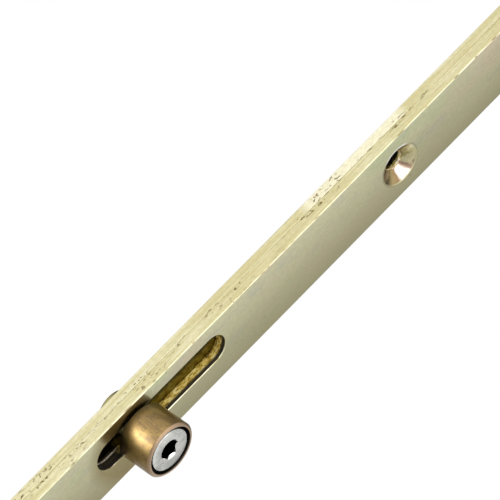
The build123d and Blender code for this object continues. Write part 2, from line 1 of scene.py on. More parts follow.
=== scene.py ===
"""Dresses a multipoint door lock: its pieces, their finishes, and the stage it is seen on."""

from math import cos, pi, radians, sin
from types import SimpleNamespace

import bmesh
import bpy
from mathutils import Matrix, Vector


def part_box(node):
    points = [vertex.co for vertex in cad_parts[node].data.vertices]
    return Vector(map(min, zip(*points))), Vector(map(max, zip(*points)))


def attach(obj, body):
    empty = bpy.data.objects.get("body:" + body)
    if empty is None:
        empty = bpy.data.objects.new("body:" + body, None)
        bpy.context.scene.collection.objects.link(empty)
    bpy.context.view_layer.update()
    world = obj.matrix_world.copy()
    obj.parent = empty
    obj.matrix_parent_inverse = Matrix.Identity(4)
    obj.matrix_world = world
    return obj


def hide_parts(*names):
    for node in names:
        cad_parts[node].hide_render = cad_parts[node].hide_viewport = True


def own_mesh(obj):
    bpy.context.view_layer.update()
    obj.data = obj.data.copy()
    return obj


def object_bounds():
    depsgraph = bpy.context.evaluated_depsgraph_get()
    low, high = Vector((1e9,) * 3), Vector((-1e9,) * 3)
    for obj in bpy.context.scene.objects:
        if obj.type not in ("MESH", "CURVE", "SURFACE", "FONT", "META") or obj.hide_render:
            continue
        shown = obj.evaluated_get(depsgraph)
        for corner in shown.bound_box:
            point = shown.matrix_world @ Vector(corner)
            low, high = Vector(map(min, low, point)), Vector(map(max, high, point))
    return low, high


bl_info = {
    "name": "Multipoint door lock",
    "version": (1, 0, 0),
    "blender": (4, 5, 0),
    "location": "View3D > Sidebar > Door lock",
    "description": "Makes the faceplate, rails, roller cams, bolts and case of a multipoint door lock",
    "category": "Add Mesh",
}

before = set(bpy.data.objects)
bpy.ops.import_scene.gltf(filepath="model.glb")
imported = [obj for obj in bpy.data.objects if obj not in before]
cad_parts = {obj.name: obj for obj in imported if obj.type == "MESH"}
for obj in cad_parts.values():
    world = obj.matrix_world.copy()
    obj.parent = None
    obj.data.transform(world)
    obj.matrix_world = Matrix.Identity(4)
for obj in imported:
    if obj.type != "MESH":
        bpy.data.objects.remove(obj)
CAD_BOX = [list(corner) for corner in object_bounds()]

MM = 0.001

# Where things stand along the lock, in metres from the spindle's height
SCREW_HEIGHTS = (0.770, 0.6525, 0.39936, 0.21362, -0.23092, -0.4275, -0.658)
GUIDE_HEIGHTS = (0.716, 0.46964, 0.29896, 0.1333, -0.19132, -0.3418, -0.470, -0.600)
CASE_SCREW_HEIGHTS = (0.008, -0.112)
ROLLER_HEIGHTS = {"upper": 0.560, "lower": -0.520}
RIVET_HEIGHTS = {"upper": (0.070, 0.082), "lower": (-0.166, -0.154)}
LATCH_HEIGHT = 0.032
DEADBOLT_HEIGHT = -0.0375
SLOT_ABOVE_ROLLER = 8.1 * MM
SLOT_ASIDE = -1.3 * MM
RAIL_TRAVEL = 18.0 * MM

# Depths and heights of the cover's screws, in millimetres
COVER_SCREW_PLACES = ((12.1, 50.6), (12.1, -100.0), (54.0, 50.6), (54.0, -50.0), (54.0, -114.0))

# Where painted shade, painted highlights and wear lie on the strip
ROLLER_SHADE_DROP = 4.0 * MM
SLOT_SHADE_BELOW_ROLLER = 11.4 * MM
RUBBED_HEIGHT = 643 * MM
SEAM_DEPTH = 3.0 * MM


# Colours and nodes
def linear(code):
    """An sRGB hex colour as the linear colour that Blender's sockets take."""
    parts = [int(code[i:i + 2], 16) / 255 for i in (1, 3, 5)]
    return tuple(p / 12.92 if p <= 0.04045 else ((p + 0.055) / 1.055) ** 2.4 for p in parts)


def opaque(colour):
    """A hex code or a colour from the settings, as the four numbers that a socket takes."""
    return (*(linear(colour) if isinstance(colour, str) else colour), 1)


def add(tree, kind, inputs=(), stops=(), **settings):
    """Adds a node with its settings and a ramp's stops, and sets or links its inputs."""
    made = tree.nodes.new(kind)
    for name, value in settings.items():
        setattr(made, name, value)
    for key, value in inputs.items() if isinstance(inputs, dict) else enumerate(inputs):
        if isinstance(value, bpy.types.NodeSocket):
            tree.links.new(value, made.inputs[key])
        else:
            made.inputs[key].default_value = value
    if stops:
        points = made.color_ramp.elements
        while len(points) < len(stops):
            points.new(0.5)
        for point, (place, colour) in zip(points, stops):
            point.position = place
            point.color = opaque(colour)
    return made


def worked(tree, formula):
    """The socket or number that a formula gives. A formula names an operation, and then what it works on."""
    # RANGE takes a value from one range to another, and holds it there.
    if not isinstance(formula, tuple):
        return formula
    operation, *values = formula
    values = [worked(tree, value) for value in values]
    if operation == "RANGE":
        return add(tree, "ShaderNodeMapRange", values).outputs["Result"]
    return add(tree, "ShaderNodeMath", values, operation=operation).outputs[0]


def product(first, *others):
    """The formula that multiplies all of these."""
    for other in others:
        first = ("MULTIPLY", first, other)
    return first


def patch(tree, place, size, detail=3.0, rough=0.5, rise=0.0):
    """Noise with patches about this large along X, Y and Z, in millimetres, moved up by a rise in metres."""
    scale = tuple(0.5 / (extent * MM) for extent in size)
    moved = add(tree, "ShaderNodeMapping", {
        "Vector": place,
        "Location": (0, 0, -rise * scale[2]),
        "Scale": scale,
    })
    noise = {"Vector": moved.outputs[0], "Scale": 1.0, "Detail": detail, "Roughness": rough}
    return add(tree, "ShaderNodeTexNoise", noise).outputs["Fac"]


def graded(tree, formula, *stops):
    """A colour that follows a formula from stop to stop."""
    return add(tree, "ShaderNodeValToRGB", [worked(tree, formula)], stops).outputs["Color"]


def laid(tree, under, over, *parts):
    """A colour with another laid over it, as far as the product of some formulas says."""
    if not isinstance(over, bpy.types.NodeSocket):
        over = opaque(over)
    colours = {0: worked(tree, product(*parts)), 6: under, 7: over}
    return add(tree, "ShaderNodeMix", colours, data_type="RGBA").outputs[2]


def metal(name):
    """A new metal with its shader, and the object's own coordinates."""
    made = bpy.data.materials.new(name)
    made.use_nodes = True
    tree = made.node_tree
    shader = tree.nodes["Principled BSDF"]
    shader.inputs["Metallic"].default_value = 1.0
    return made, tree, shader, add(tree, "ShaderNodeTexCoord").outputs["Object"]


def turning_places(tree):
    """The radius and the depth of a turned piece, from the map that it was made with."""
    turning = add(tree, "ShaderNodeUVMap", uv_map="turning").outputs["UV"]
    return add(tree, "ShaderNodeSeparateXYZ", [turning]).outputs[:2]


def finish_shader(tree, shader, colour, roughness, height):
    """Links a material's colour, and works out its roughness and its bump, whose height is in metres."""
    bump = add(tree, "ShaderNodeBump", {"Height": worked(tree, height), "Strength": 1.0, "Distance": 1.0})
    tree.links.new(colour, shader.inputs["Base Color"])
    tree.links.new(worked(tree, roughness), shader.inputs["Roughness"])
    tree.links.new(bump.outputs["Normal"], shader.inputs["Normal"])


# Materials
def strip_places(tree, place):
    """What the strip's look goes by: a point's place, the way it faces, whether it is sunk, and patches."""
    at = SimpleNamespace(place=place)
    at.x, at.y, at.z = add(tree, "ShaderNodeSeparateXYZ", [place]).outputs[:3]
    normal = add(tree, "ShaderNodeTexCoord").outputs["Normal"]
    facing_x, at.facing_y, at.facing_z = add(tree, "ShaderNodeSeparateXYZ", [normal]).outputs[:3]
    at.sunk = add(tree, "ShaderNodeAttribute", attribute_name="sink").outputs["Fac"]
    at.aside = worked(tree, ("ABSOLUTE", at.x))
    at.sideways = worked(tree, ("ABSOLUTE", facing_x))
    at.side = worked(tree, ("RANGE", at.sideways, 0.5, 0.85, 0.0, 1.0))
    at.upright = worked(tree, ("RANGE", at.facing_y, -0.6, -0.3, 0.0, 1.0))
    at.depth = worked(tree, ("RANGE", at.y, 0.1 * MM, 0.2 * MM, 0.0, 1.0))
    at.drift = patch(tree, place, (7, 7, 13), rise=31 * MM)
    at.grain = patch(tree, place, (0.42, 0.42, 0.6))
    at.sheared = patch(tree, place, (0.6, 0.25, 0.7), 4.0, 0.65)
    hollow = product(("RANGE", at.aside, 9.7 * MM, 9.2 * MM, 0.0, 1.0), at.depth)
    at.inside = worked(tree, product(hollow, ("RANGE", at.facing_y, 0.5, 0.7, 1.0, 0.0)))
    at.slant = worked(tree, product(at.sunk, ("RANGE", at.y, 2.2 * MM, 2.26 * MM, 1.0, 0.0)))
    # Hardly any light falls on the walls of the rails' own slots.
    deeper = ("MULTIPLY_ADD", at.sheared, 1.2 * MM, at.y)
    at.cavity = worked(tree, product(("RANGE", deeper, 4.25 * MM, 4.4 * MM, 0.0, 1.0), at.upright))
    return at


def strip_face(tree, at, settings):
    """The colour of the rolled face."""
    light = settings.film_light
    warmth = patch(tree, at.place, (6, 6, 15), 2.0, rise=31 * MM)
    bloom = patch(tree, at.place, (2.2, 2.2, 5), 4.0, 0.6)
    film = graded(tree, at.drift, (0.42, settings.film_green), (0.54, light), (0.66, light))
    film = laid(tree, film, settings.film_warm, ("RANGE", warmth, 0.48, 0.62, 0.0, 0.8))
    film = laid(tree, film, "#BFBEB0", ("RANGE", bloom, 0.5, 0.66, 0.0, 0.5))
    # Painted shade: the face is graded a little darker toward its far edge.
    return laid(tree, film, settings.film_deep_and_shade, ("RANGE", at.x, -10 * MM, 9 * MM, 0.0, 0.9))


def strip_edge(tree, at, settings):
    """The colour of the slit edges, which rolls have streaked along their length."""
    streaks = patch(tree, at.place, (0.35, 0.35, 9), 3.0, 0.6)
    edge = graded(tree, streaks, (0.34, "#C8BE8E"), (0.5, settings.film_edge), (0.64, "#DDD6B2"))
    edge = laid(tree, edge, "#C2B683", ("RANGE", at.drift, 0.45, 0.62, 0.0, 0.35))
    # A rail's edge is rubbed pale where it was carried.
    behind = ("RANGE", at.y, SEAM_DEPTH, SEAM_DEPTH + 0.1 * MM, 0.0, 1.0)
    away = ("ABSOLUTE", ("SUBTRACT", at.z, RUBBED_HEIGHT))
    return laid(tree, edge, "#EFE9CC", behind, ("RANGE", away, 16 * MM, 19 * MM, 0.85, 0.0))


def strip_wear(tree, at, film, settings):
    """The film with the rollers' painted shade and reflection round them, its grain, and its corners marked
    by wear and painted with highlights.
    """
    # Painted shade and reflection: the face round each roller, and a little below it, is laid a dull brown.
    squares = []
    for height in ROLLER_HEIGHTS.values():
        above = worked(tree, ("SUBTRACT", at.z, height - ROLLER_SHADE_DROP))
        squares.append(product(above, above))
    painted_roller_shade = ("SQRT", ("MULTIPLY_ADD", at.x, at.x, ("MINIMUM", *squares)))
    painted_roller_shade = ("RANGE", ("MULTIPLY_ADD", at.drift, 2 * MM, painted_roller_shade), 10.8 * MM, 14.8 * MM, 0.66, 0.0)
    film = laid(tree, film, "#857340", painted_roller_shade, ("RANGE", at.facing_y, -0.9, -0.8, 1.0, 0.0))
    film = laid(tree, film, settings.film_deep_and_shade, ("RANGE", at.grain, 0.4, 0.62, 0.0, 0.2))
    # The corners are painted pale, partly as wear and partly as a painted highlight along the edges, with
    # brown nicks.
    chipped = patch(tree, at.place, (0.7, 0.7, 2.4))
    wear_and_sheen = worked(tree, product(
        ("RANGE", at.sideways, 0.25, 0.5, 0.0, 1.0),
        ("RANGE", at.sideways, 0.93, 0.99, 1.0, 0.0),
        ("RANGE", at.y, 0.3 * MM, 0.36 * MM, 0.95, 0.0),
        ("RANGE", at.sunk, 0.4, 0.6, 1.0, 0.15),
    ))
    outer = ("RANGE", at.aside, 9.2 * MM, 9.5 * MM, 1.0, 0.47)
    film = laid(tree, film, "#F2EDDA", wear_and_sheen, ("RANGE", chipped, 0.42, 0.6, 0.1, 0.9), outer)
    return laid(tree, film, "#6E5730", wear_and_sheen, ("RANGE", chipped, 0.39, 0.44, 0.85, 0.0))


def strip_walls(tree, at, settings):
    """The colour in slots and holes, where the bath stood and the film is thicker and browner, with painted
    shade, reflections and highlights laid over it.
    """
    pool = graded(tree, at.sheared, (0.4, "#8A681C"), (0.5, settings.film_pool), (0.6, "#FBEBA4"))
    # Painted dark reflection: the walls are laid near black just behind the rims.
    pool = laid(tree, pool, "#1C160B", at.depth, ("RANGE", at.y, 0.95 * MM, 1.45 * MM, 0.98, 0.0))
    behind = (at.y, SEAM_DEPTH, SEAM_DEPTH + 0.02 * MM)
    # Painted shade: the rail, where it shows through the slots, is laid a dark olive.
    pool = laid(tree, pool, "#81783C", ("RANGE", *behind, 0.0, 1.0))
    torn = ("RANGE", at.sheared, 0.46, 0.54, 0.1, 1.0)
    pool = laid(tree, pool, "#F1E6D6", at.sunk, at.upright, torn)
    pool = laid(tree, pool, "#080604", at.cavity)
    # Painted shade of the rollers: the slots' lower ends, under the rollers, are laid near black, and a thin
    # painted highlight runs along their feet there.
    middles = [height - SLOT_SHADE_BELOW_ROLLER for height in ROLLER_HEIGHTS.values()]
    ends = [("ABSOLUTE", ("SUBTRACT", at.z, middle)) for middle in middles]
    near = (worked(tree, ("MINIMUM", *ends)), 4.2 * MM, 6.0 * MM)
    low = worked(tree, product(at.y, at.upright))
    shade_depth = ("RANGE", low, 2.66 * MM, 2.72 * MM, 1.0, 0.1)
    pool = laid(tree, pool, "#1B140B", ("RANGE", *near, 0.97, 0.0), shade_depth)
    slot_foot_glint = product(("RANGE", low, 2.5 * MM, 2.6 * MM, 0.0, 0.9), ("RANGE", *behind, 1.0, 0.0))
    pool = laid(tree, pool, "#FFF0D8", slot_foot_glint, ("RANGE", *near, 1.0, 0.0))
    # Countersinks were cut to a finer face, where the film turns to a pinkish bronze; round the cone the
    # colour is graded by the way each part faces, as painted reflection with lit and shaded parts and a white
    # highlight.
    cut = patch(tree, at.place, (1.2, 1.2, 1.2), 2.0)
    cone_film_and_reflection = graded(
        tree, ("RANGE", ("MULTIPLY_ADD", cut, 0.3, at.facing_z), -0.55, 0.85, 0.0, 1.0),
        (0.0, "#9A8E58"), (0.06, "#D2C99C"), (0.15, "#DDD3A8"), (0.21, "#98806C"), (0.28, "#927A68"),
        (0.34, "#EDE3D4"), (0.56, "#EDE3D4"), (0.63, "#927656"), (0.8, "#B3A070"), (1.0, "#84744A"),
    )
    return laid(tree, pool, cone_film_and_reflection, at.slant)


def passivated_steel(name, settings):
    """Steel strip, rolled, zinc plated and yellow passivated."""
    # The thin film gives a pale olive gold that drifts to green and to pink, over a satin skin.
    made, tree, shader, place = metal(name)
    at = strip_places(tree, place)
    film = laid(tree, strip_face(tree, at, settings), strip_edge(tree, at, settings), at.side)
    film = strip_wear(tree, at, film, settings)
    film = laid(tree, film, strip_walls(tree, at, settings), at.inside)
    # The countersinks' flat rims are painted: pale on their -X side as a highlight, and darker over the rest
    # as shade.
    countersink_rim = worked(tree, product(at.sunk, ("RANGE", at.facing_y, -0.98, -0.96, 1.0, 0.0)))
    film = laid(tree, film, "#FFFDF2", countersink_rim, ("RANGE", at.x, -5.3 * MM, -4.6 * MM, 1.0, 0.0))
    film = laid(tree, film, "#8A7F50", countersink_rim, ("RANGE", at.x, -4.6 * MM, -3.5 * MM, 0.0, 0.4))
    # Handling leaves brown nicks a millimetre or two long, most of them along the seam with the rail.
    marks = patch(tree, place, (0.3, 0.3, 0.7), 3.0, 0.6)
    rare = patch(tree, place, (4, 4, 9), 2.0)
    seam = ("RANGE", ("ABSOLUTE", ("SUBTRACT", at.y, SEAM_DEPTH)), 0.2 * MM, 1.3 * MM, 0.16, 0.0)
    often = ("RANGE", ("MULTIPLY_ADD", at.side, seam, rare), 0.56, 0.65, 0.0, 1.0)
    scratch = product(("RANGE", marks, 0.56, 0.63, 0.0, 1.0), often)
    film = laid(tree, film, "#5F4A24", scratch, ("MULTIPLY_ADD", at.side, 0.65, 0.2))
    # The torn steel of the punched walls scatters light like a matt coat.
    satin = settings.film_roughness
    walls = worked(tree, product(("SUBTRACT", at.inside, at.slant), at.upright))
    torn = product(walls, ("SUBTRACT", 1.0, at.cavity))
    tree.links.new(worked(tree, ("MULTIPLY_ADD", torn, -0.9, 1.0)), shader.inputs["Metallic"])
    rough = ("MULTIPLY_ADD", walls, 0.6, ("RANGE", at.grain, 0.3, 0.7, satin - 0.04, satin + 0.06))
    # A rolled strip is very slightly crowned, and waves a little along its length.
    rolled = ("ADD", product(at.x, at.x, -settings.crown), product(at.drift, 0.03 * MM))
    fine = ("ADD", product(at.grain, 0.004 * MM), product(at.sheared, walls, 0.08 * MM))
    finish_shader(tree, shader, film, rough, ("ADD", rolled, fine))
    return made


def roller_bronze(name, settings):
    """Bronze, turned and dark with use, with painted shade next to the faceplate and round the head."""
    # Soft brown mottling runs along the axis over a gold ground, with a satin shine.
    made, tree, shader, place = metal(name)
    radius, depth = turning_places(tree)
    streak = patch(tree, place, (0.45, 4, 0.45), 3.0, 0.6)
    mottle = patch(tree, place, (1.4, 1.8, 1.4), 4.0, 0.6)
    pits = patch(tree, place, (0.28, 0.5, 0.28), 2.0)
    both = worked(tree, ("MULTIPLY_ADD", streak, 0.4, product(mottle, 0.6)))
    colour = graded(tree, both, (0.34, "#745A2A"), (0.5, settings.bronze_light), (0.66, "#A08444"))
    colour = laid(tree, colour, settings.bronze_dark, ("RANGE", pits, 0.56, 0.68, 0.0, 0.45))
    # The ends were faced last, and are pinker.
    end = ("RANGE", depth, -9.85 * MM, -9.8 * MM, 1.0, 0.0)
    colour = laid(tree, colour, "#A98C74", end, ("RANGE", radius, 6.5 * MM, 6.55 * MM, 0.0, 0.65))
    # Painted shade: the end next to the faceplate is laid a dark brown, and the recess round the head near
    # black.
    painted_roller_shade = ("RANGE", ("MULTIPLY_ADD", mottle, 1.6 * MM, depth), -2.2 * MM, 0.3 * MM, 0.0, 0.75)
    colour = laid(tree, colour, "#33240F", painted_roller_shade)
    colour = laid(tree, colour, "#100C07", ("RANGE", radius, 6.58 * MM, 6.5 * MM, 0.0, 0.97))
    shader.inputs["Coat Weight"].default_value = 0.62
    shader.inputs["Coat Roughness"].default_value = 0.34
    shader.inputs["Coat IOR"].default_value = 1.8
    rough = ("RANGE", both, 0.35, 0.65, 0.4, 0.32)
    finish_shader(tree, shader, colour, rough, product(both, 0.004 * MM))
    return made


def turned_steel(name, settings):
    """Free-cutting steel, turned and left bright."""
    # The tool leaves fine rings about the axis, drawn at twice their real spacing so that they show.
    made, tree, shader, place = metal(name)
    radius, depth = turning_places(tree)
    rings = worked(tree, ("SINE", product(radius, 2 * pi / (0.42 * MM))))
    cloud = patch(tree, place, (1.4, 1.4, 1.4))
    grain = patch(tree, place, (0.18, 0.18, 0.18), 2.0)
    mix = ("MULTIPLY_ADD", rings, 0.17, cloud)
    colour = graded(tree, mix, (0.3, "#9FA09C"), (0.5, settings.steel), (0.72, "#DEDEDA"))
    # Painted shade: the hex socket is laid near black, blackest on its floor.
    within = ("RANGE", radius, 2.92 * MM, 2.88 * MM, 0.0, 1.0)
    sunk = ("RANGE", depth, -9.36 * MM, -9.28 * MM, 0.0, 0.97)
    colour = laid(tree, colour, "#16140D", within, sunk, ("RANGE", depth, -5.0 * MM, -4.8 * MM, 1.0, 0.0))
    # Painted highlight: the socket's lead-in is laid near white.
    mouth = ("RANGE", radius, 2.92 * MM, 2.9 * MM, 0.0, 1.0)
    colour = laid(tree, colour, "#F4F2EE", mouth, ("RANGE", depth, -9.36 * MM, -9.3 * MM, 1.0, 0.0))
    # Painted shade: the side of the head, in the recess's gap, is laid black.
    rim = ("RANGE", radius, 5.72 * MM, 5.8 * MM, 0.0, 0.85)
    colour = laid(tree, colour, "#1C1A16", rim, ("RANGE", depth, -7.5 * MM, -7.4 * MM, 1.0, 0.0))
    # The foot behind the rail keeps a yellow film.
    behind = ("RANGE", depth, 5.5 * MM, 5.6 * MM, 0.0, 1.0)
    colour = laid(tree, colour, "#9A9160", behind, ("RANGE", radius, 3.0 * MM, 3.4 * MM, 0.0, 1.0))
    height = ("ADD", product(rings, 0.0025 * MM), product(grain, 0.003 * MM))
    finish_shader(tree, shader, colour, ("RANGE", cloud, 0.3, 0.7, 0.34, 0.24), height)
    return made


def zinc_plate(name, tint, deep, roughness):
    """Steel sheet or bar, bright zinc plated."""
    # The coat is a cool silver with soft clouds and a fine tooth.
    made, tree, shader, place = metal(name)
    cloud = patch(tree, place, (9, 9, 9), 4.0, 0.6)
    grain = patch(tree, place, (0.3, 0.3, 0.3), 2.0)
    colour = graded(tree, cloud, (0.3, deep), (0.55, tint), (0.8, tint))
    colour = laid(tree, colour, deep, ("RANGE", grain, 0.55, 0.75, 0.0, 0.25))
    rough = ("RANGE", cloud, 0.3, 0.7, roughness + 0.05, roughness - 0.05)
    finish_shader(tree, shader, colour, rough, ("ADD", product(grain, 0.004 * MM), product(cloud, 0.03 * MM)))
    return made


def zinc_sheet(name, settings):
    """Pressed sheet, whose plating is a cool satin silver."""
    return zinc_plate(name, settings.zinc, "#9DA1A5", 0.42)


def zinc_screw(name, settings):
    """Turned and cold formed steel, whose plating is a brighter and warmer silver."""
    return zinc_plate(name, settings.screw, "#A7A9AA", 0.28)


def nickel_plate(name, settings):
    """Steel bolt, linished, then nickel plated."""
    # Fine polishing lines run along the throw, under a warm silver coat.
    made, tree, shader, place = metal(name)
    lines = patch(tree, place, (0.25, 14, 0.25), 3.0, 0.6)
    cloud = patch(tree, place, (5, 9, 5))
    colour = graded(tree, lines, (0.3, "#A8A49B"), (0.5, settings.nickel), (0.8, "#DEDAD0"))
    height = ("ADD", product(lines, 0.004 * MM), product(cloud, 0.02 * MM))
    finish_shader(tree, shader, colour, ("RANGE", cloud, 0.3, 0.7, 0.32, 0.22), height)
    return made


def zinc_casting(name, settings):
    """Zinc alloy, die cast and tumbled."""
    # Tumbling leaves a dull grey skin with a soft pebbled tooth.
    made, tree, shader, place = metal(name)
    cloud = patch(tree, place, (4, 4, 4), 4.0)
    pebble = patch(tree, place, (0.5, 0.5, 0.5), 2.0)
    colour = graded(tree, cloud, (0.3, "#8C8E8C"), (0.55, settings.casting), (0.8, "#B4B5B2"))
    finish_shader(tree, shader, colour, ("RANGE", pebble, 0.3, 0.7, 0.5, 0.4), product(pebble, 0.02 * MM))
    return made


def spring_wire(name, settings):
    """Spring steel wire, drawn and oil hardened."""
    # Drawing leaves a smooth dark grey, a little brown where the oil burnt on.
    made, tree, shader, place = metal(name)
    cloud = patch(tree, place, (1.5, 1.5, 1.5))
    grain = patch(tree, place, (0.12, 0.12, 0.12), 2.0)
    colour = graded(tree, cloud, (0.35, "#5E5952"), (0.6, settings.wire), (0.8, "#97999B"))
    finish_shader(tree, shader, colour, ("RANGE", cloud, 0.3, 0.7, 0.4, 0.28), product(grain, 0.003 * MM))
    return made


# Each slot's material, by name, and the function that makes it
FINISHES = {
    "passivated_steel": ("yellow_passivated_steel", passivated_steel),
    "bronze": ("turned_bronze", roller_bronze),
    "bright_steel": ("turned_steel", turned_steel),
    "zinc_plated_steel": ("zinc_plated_sheet", zinc_sheet),
    "screw_steel": ("zinc_plated_screw", zinc_screw),
    "nickel_plate": ("satin_nickel_plate", nickel_plate),
    "zinc_casting": ("cast_zinc_alloy", zinc_casting),
    "spring_steel": ("oil_hardened_wire", spring_wire),
}


def finish(slot):
    """The material for a slot, made when it is first asked for."""
    name, maker = FINISHES[slot]
    return bpy.data.materials.get(name) or maker(name, bpy.context.scene.doorlock_finishes)


# Meshes
OUTLINE = 1
OPENING = -1


def oblong(half, low, high, bottom=None, top=None, steps=16, aside=0.0):
    """An upright oblong's loop, for any growth and depth. Its ends are rounded as told, or fully."""
    sharpest = 0.02 * MM
    apart = 1e-7

    def loop(grow, depth):
        under = max((half if bottom is None else bottom) + grow, sharpest)
        over = max((half if top is None else top) + grow, sharpest)
        corners = (
            (half + grow - under, low - grow + under, under, -90),
            (half + grow - over, high + grow - over, over, 0),
            (over - half - grow, high + grow - over, over, 90),
            (under - half - grow, low - grow + under, under, 180),
        )
        points = []
        for x, z, radius, start in corners:
            for step in range(steps + 1):
                angle = radians(start + 90 * step / steps)
                point = Vector((aside + x + radius * cos(angle), depth, z + radius * sin(angle)))
                if not points or (point - points[-1]).length > apart:
                    points.append(point)
        if (points[0] - points[-1]).length <= apart:
            points.pop()
        return points
    return loop


def circle(radius, height, steps=16, aside=0.0):
    """A round hole's or bar's loop about a height."""
    return oblong(radius, height - radius, height + radius, steps=steps, aside=aside)


def quarter(width, steps=4):
    """The growths and depths of an edge rounded from a face into a wall."""
    turns = [radians(90 * step / steps) for step in range(steps + 1)]
    return [(-width * (1 - sin(turn)), width * (1 - cos(turn))) for turn in turns]


def wall(front, back, front_ease, back_ease, sense):
    """The growths and depths of a wall through a plate. Its sense is OUTLINE or OPENING."""
    near = [(sense * grow, front + depth) for grow, depth in quarter(front_ease)]
    far = [(sense * grow, back - depth) for grow, depth in reversed(quarter(back_ease))]
    return near + far


def skin(mesh, loops, closed=False, mark=0.0):
    """Joins loops of as many points each with faces, marks these, and gives back their corners."""
    marks = mesh.faces.layers.float.get("sink") or mesh.faces.layers.float.new("sink")
    rings = [[mesh.verts.new(point) for point in loop] for loop in loops]
    pairs = list(zip(rings, rings[1:]))
    if closed:
        pairs.append((rings[-1], rings[0]))
    for first, second in pairs:
        for here in range(len(first)):
            there = (here + 1) % len(first)
            face = mesh.faces.new((first[here], first[there], second[there], second[here]))
            face[marks] = mark
    return rings


def cap(mesh, rings):
    """Fills the flat face between an outline and its openings, and gives back its edges."""
    edges = [mesh.edges.get((ring[i - 1], ring[i])) for ring in rings for i in range(len(ring))]
    bmesh.ops.triangle_fill(mesh, use_beauty=True, use_dissolve=False, edges=edges)
    return edges


def plate(outline, openings):
    """A flat plate and its crisp edges. Each loop has its growths and depths, and a mark if it is sunk."""
    mesh = bmesh.new()
    walls = []
    for loop, steps, *mark in [outline, *openings]:
        walls.append(skin(mesh, [loop(*step) for step in steps], mark=mark[0] if mark else 0.0))
    crisp = cap(mesh, [rings[0] for rings in walls]) + cap(mesh, [rings[-1] for rings in walls])
    return mesh, crisp


def turned(profile, height=0.0, count=96, closed=False, socket=()):
    """Turns a profile of radius, depth and offset along X about an axis along Y, after a socket's loops."""
    mesh = bmesh.new()
    angles = [2 * pi * i / count for i in range(count)]
    loops = list(socket)
    ends = []
    for radius, depth, *aside in profile:
        middle = sum(aside)
        if radius == 0:
            ends.append((0 if len(loops) == len(socket) else -1, Vector((middle, depth, height))))
            continue
        loops.append([Vector((middle + radius * cos(a), depth, height + radius * sin(a))) for a in angles])
    rings = skin(mesh, loops, closed)
    for place, point in ends:
        ring = rings[place]
        tip = mesh.verts.new(point)
        for i in range(count):
            mesh.faces.new((ring[i - 1], ring[i], tip))
    return mesh


def to_mesh(name, mesh, crisp=(), limit=28, axis=None, outwards=True):
    """Ends a bmesh: faces outwards, crisp edges where it turns sharply, and a map of the radius."""
    if outwards:
        bmesh.ops.recalc_face_normals(mesh, faces=mesh.faces)
    for face in mesh.faces:
        face.smooth = True
    for edge in mesh.edges:
        edge.smooth = edge.calc_face_angle(0.0) < radians(limit)
    for edge in crisp:
        if edge.is_valid:
            edge.smooth = False
    if axis is not None:
        layer = mesh.loops.layers.uv.new("turning")
        for face in mesh.faces:
            for corner in face.loops:
                x, y, z = corner.vert.co
                corner[layer].uv = ((x * x + (z - axis) ** 2) ** 0.5, y)
    data = bpy.data.meshes.new(name)
    mesh.to_mesh(data)
    mesh.free()
    return data


def in_metres(profile):
    """A profile given in millimetres."""
    return [tuple(size * MM for size in point) for point in profile]


def shown(name, data):
    """Links a new object for a mesh, a lamp or a camera."""
    thing = bpy.data.objects.new(name, data)
    bpy.context.scene.collection.objects.link(thing)
    return thing


def settled(thing):
    """Turns an object's modifiers into its plain mesh."""
    bpy.context.view_layer.update()
    graph = bpy.context.evaluated_depsgraph_get()
    whole = thing.evaluated_get(graph)
    data = bpy.data.meshes.new_from_object(whole, preserve_all_data_layers=True, depsgraph=graph)
    data.name = thing.name
    thing.modifiers.clear()
    thing.data = data
    return thing


def fitted(thing, body, slot, *nodes):
    """Gives a finished piece its body, its slot with the material, and the nodes it stands for."""
    thing.data.materials.clear()
    thing.data.materials.append(finish(slot))
    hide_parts(*nodes)
    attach(thing, body)


def eased_copies(width, body, slot, nodes, segments=2):
    """Copies of nodes with their corners eased, as sheet and bar have after cutting and tumbling."""
    for node, name in nodes.items():
        mesh = bmesh.new()
        mesh.from_mesh(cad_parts[node].data)
        bmesh.ops.remove_doubles(mesh, verts=mesh.verts, dist=1e-6)
        bmesh.ops.dissolve_limit(mesh, angle_limit=radians(0.4), verts=mesh.verts, edges=mesh.edges)
        thing = shown(name, to_mesh(name, mesh, outwards=False))
        ease = thing.modifiers.new("Eased corners", "BEVEL")
        ease.width = width
        ease.segments = segments
        ease.limit_method = "ANGLE"
        ease.angle_limit = radians(35)
        ease.harden_normals = True
        ease.use_clamp_overlap = True
        fitted(settled(thing), body, slot, node)


# Geometry trees
def new_tree(name, **sockets):
    """An empty geometry tree with its named inputs."""
    tree = bpy.data.node_groups.new(name, "GeometryNodeTree")
    tree.interface.new_socket("Geometry", in_out="OUTPUT", socket_type="NodeSocketGeometry")
    for label, kind in sockets.items():
        tree.interface.new_socket(label, in_out="INPUT", socket_type="NodeSocket" + kind)
    return tree, add(tree, "NodeGroupInput").outputs


def end_tree(tree, geometry, material):
    """Realizes a tree's instances, sets its material, and links its output."""
    real = add(tree, "GeometryNodeRealizeInstances", {"Geometry": geometry})
    painted = add(tree, "GeometryNodeSetMaterial", {"Geometry": real.outputs[0], "Material": material})
    add(tree, "NodeGroupOutput", {"Geometry": painted.outputs[0]})


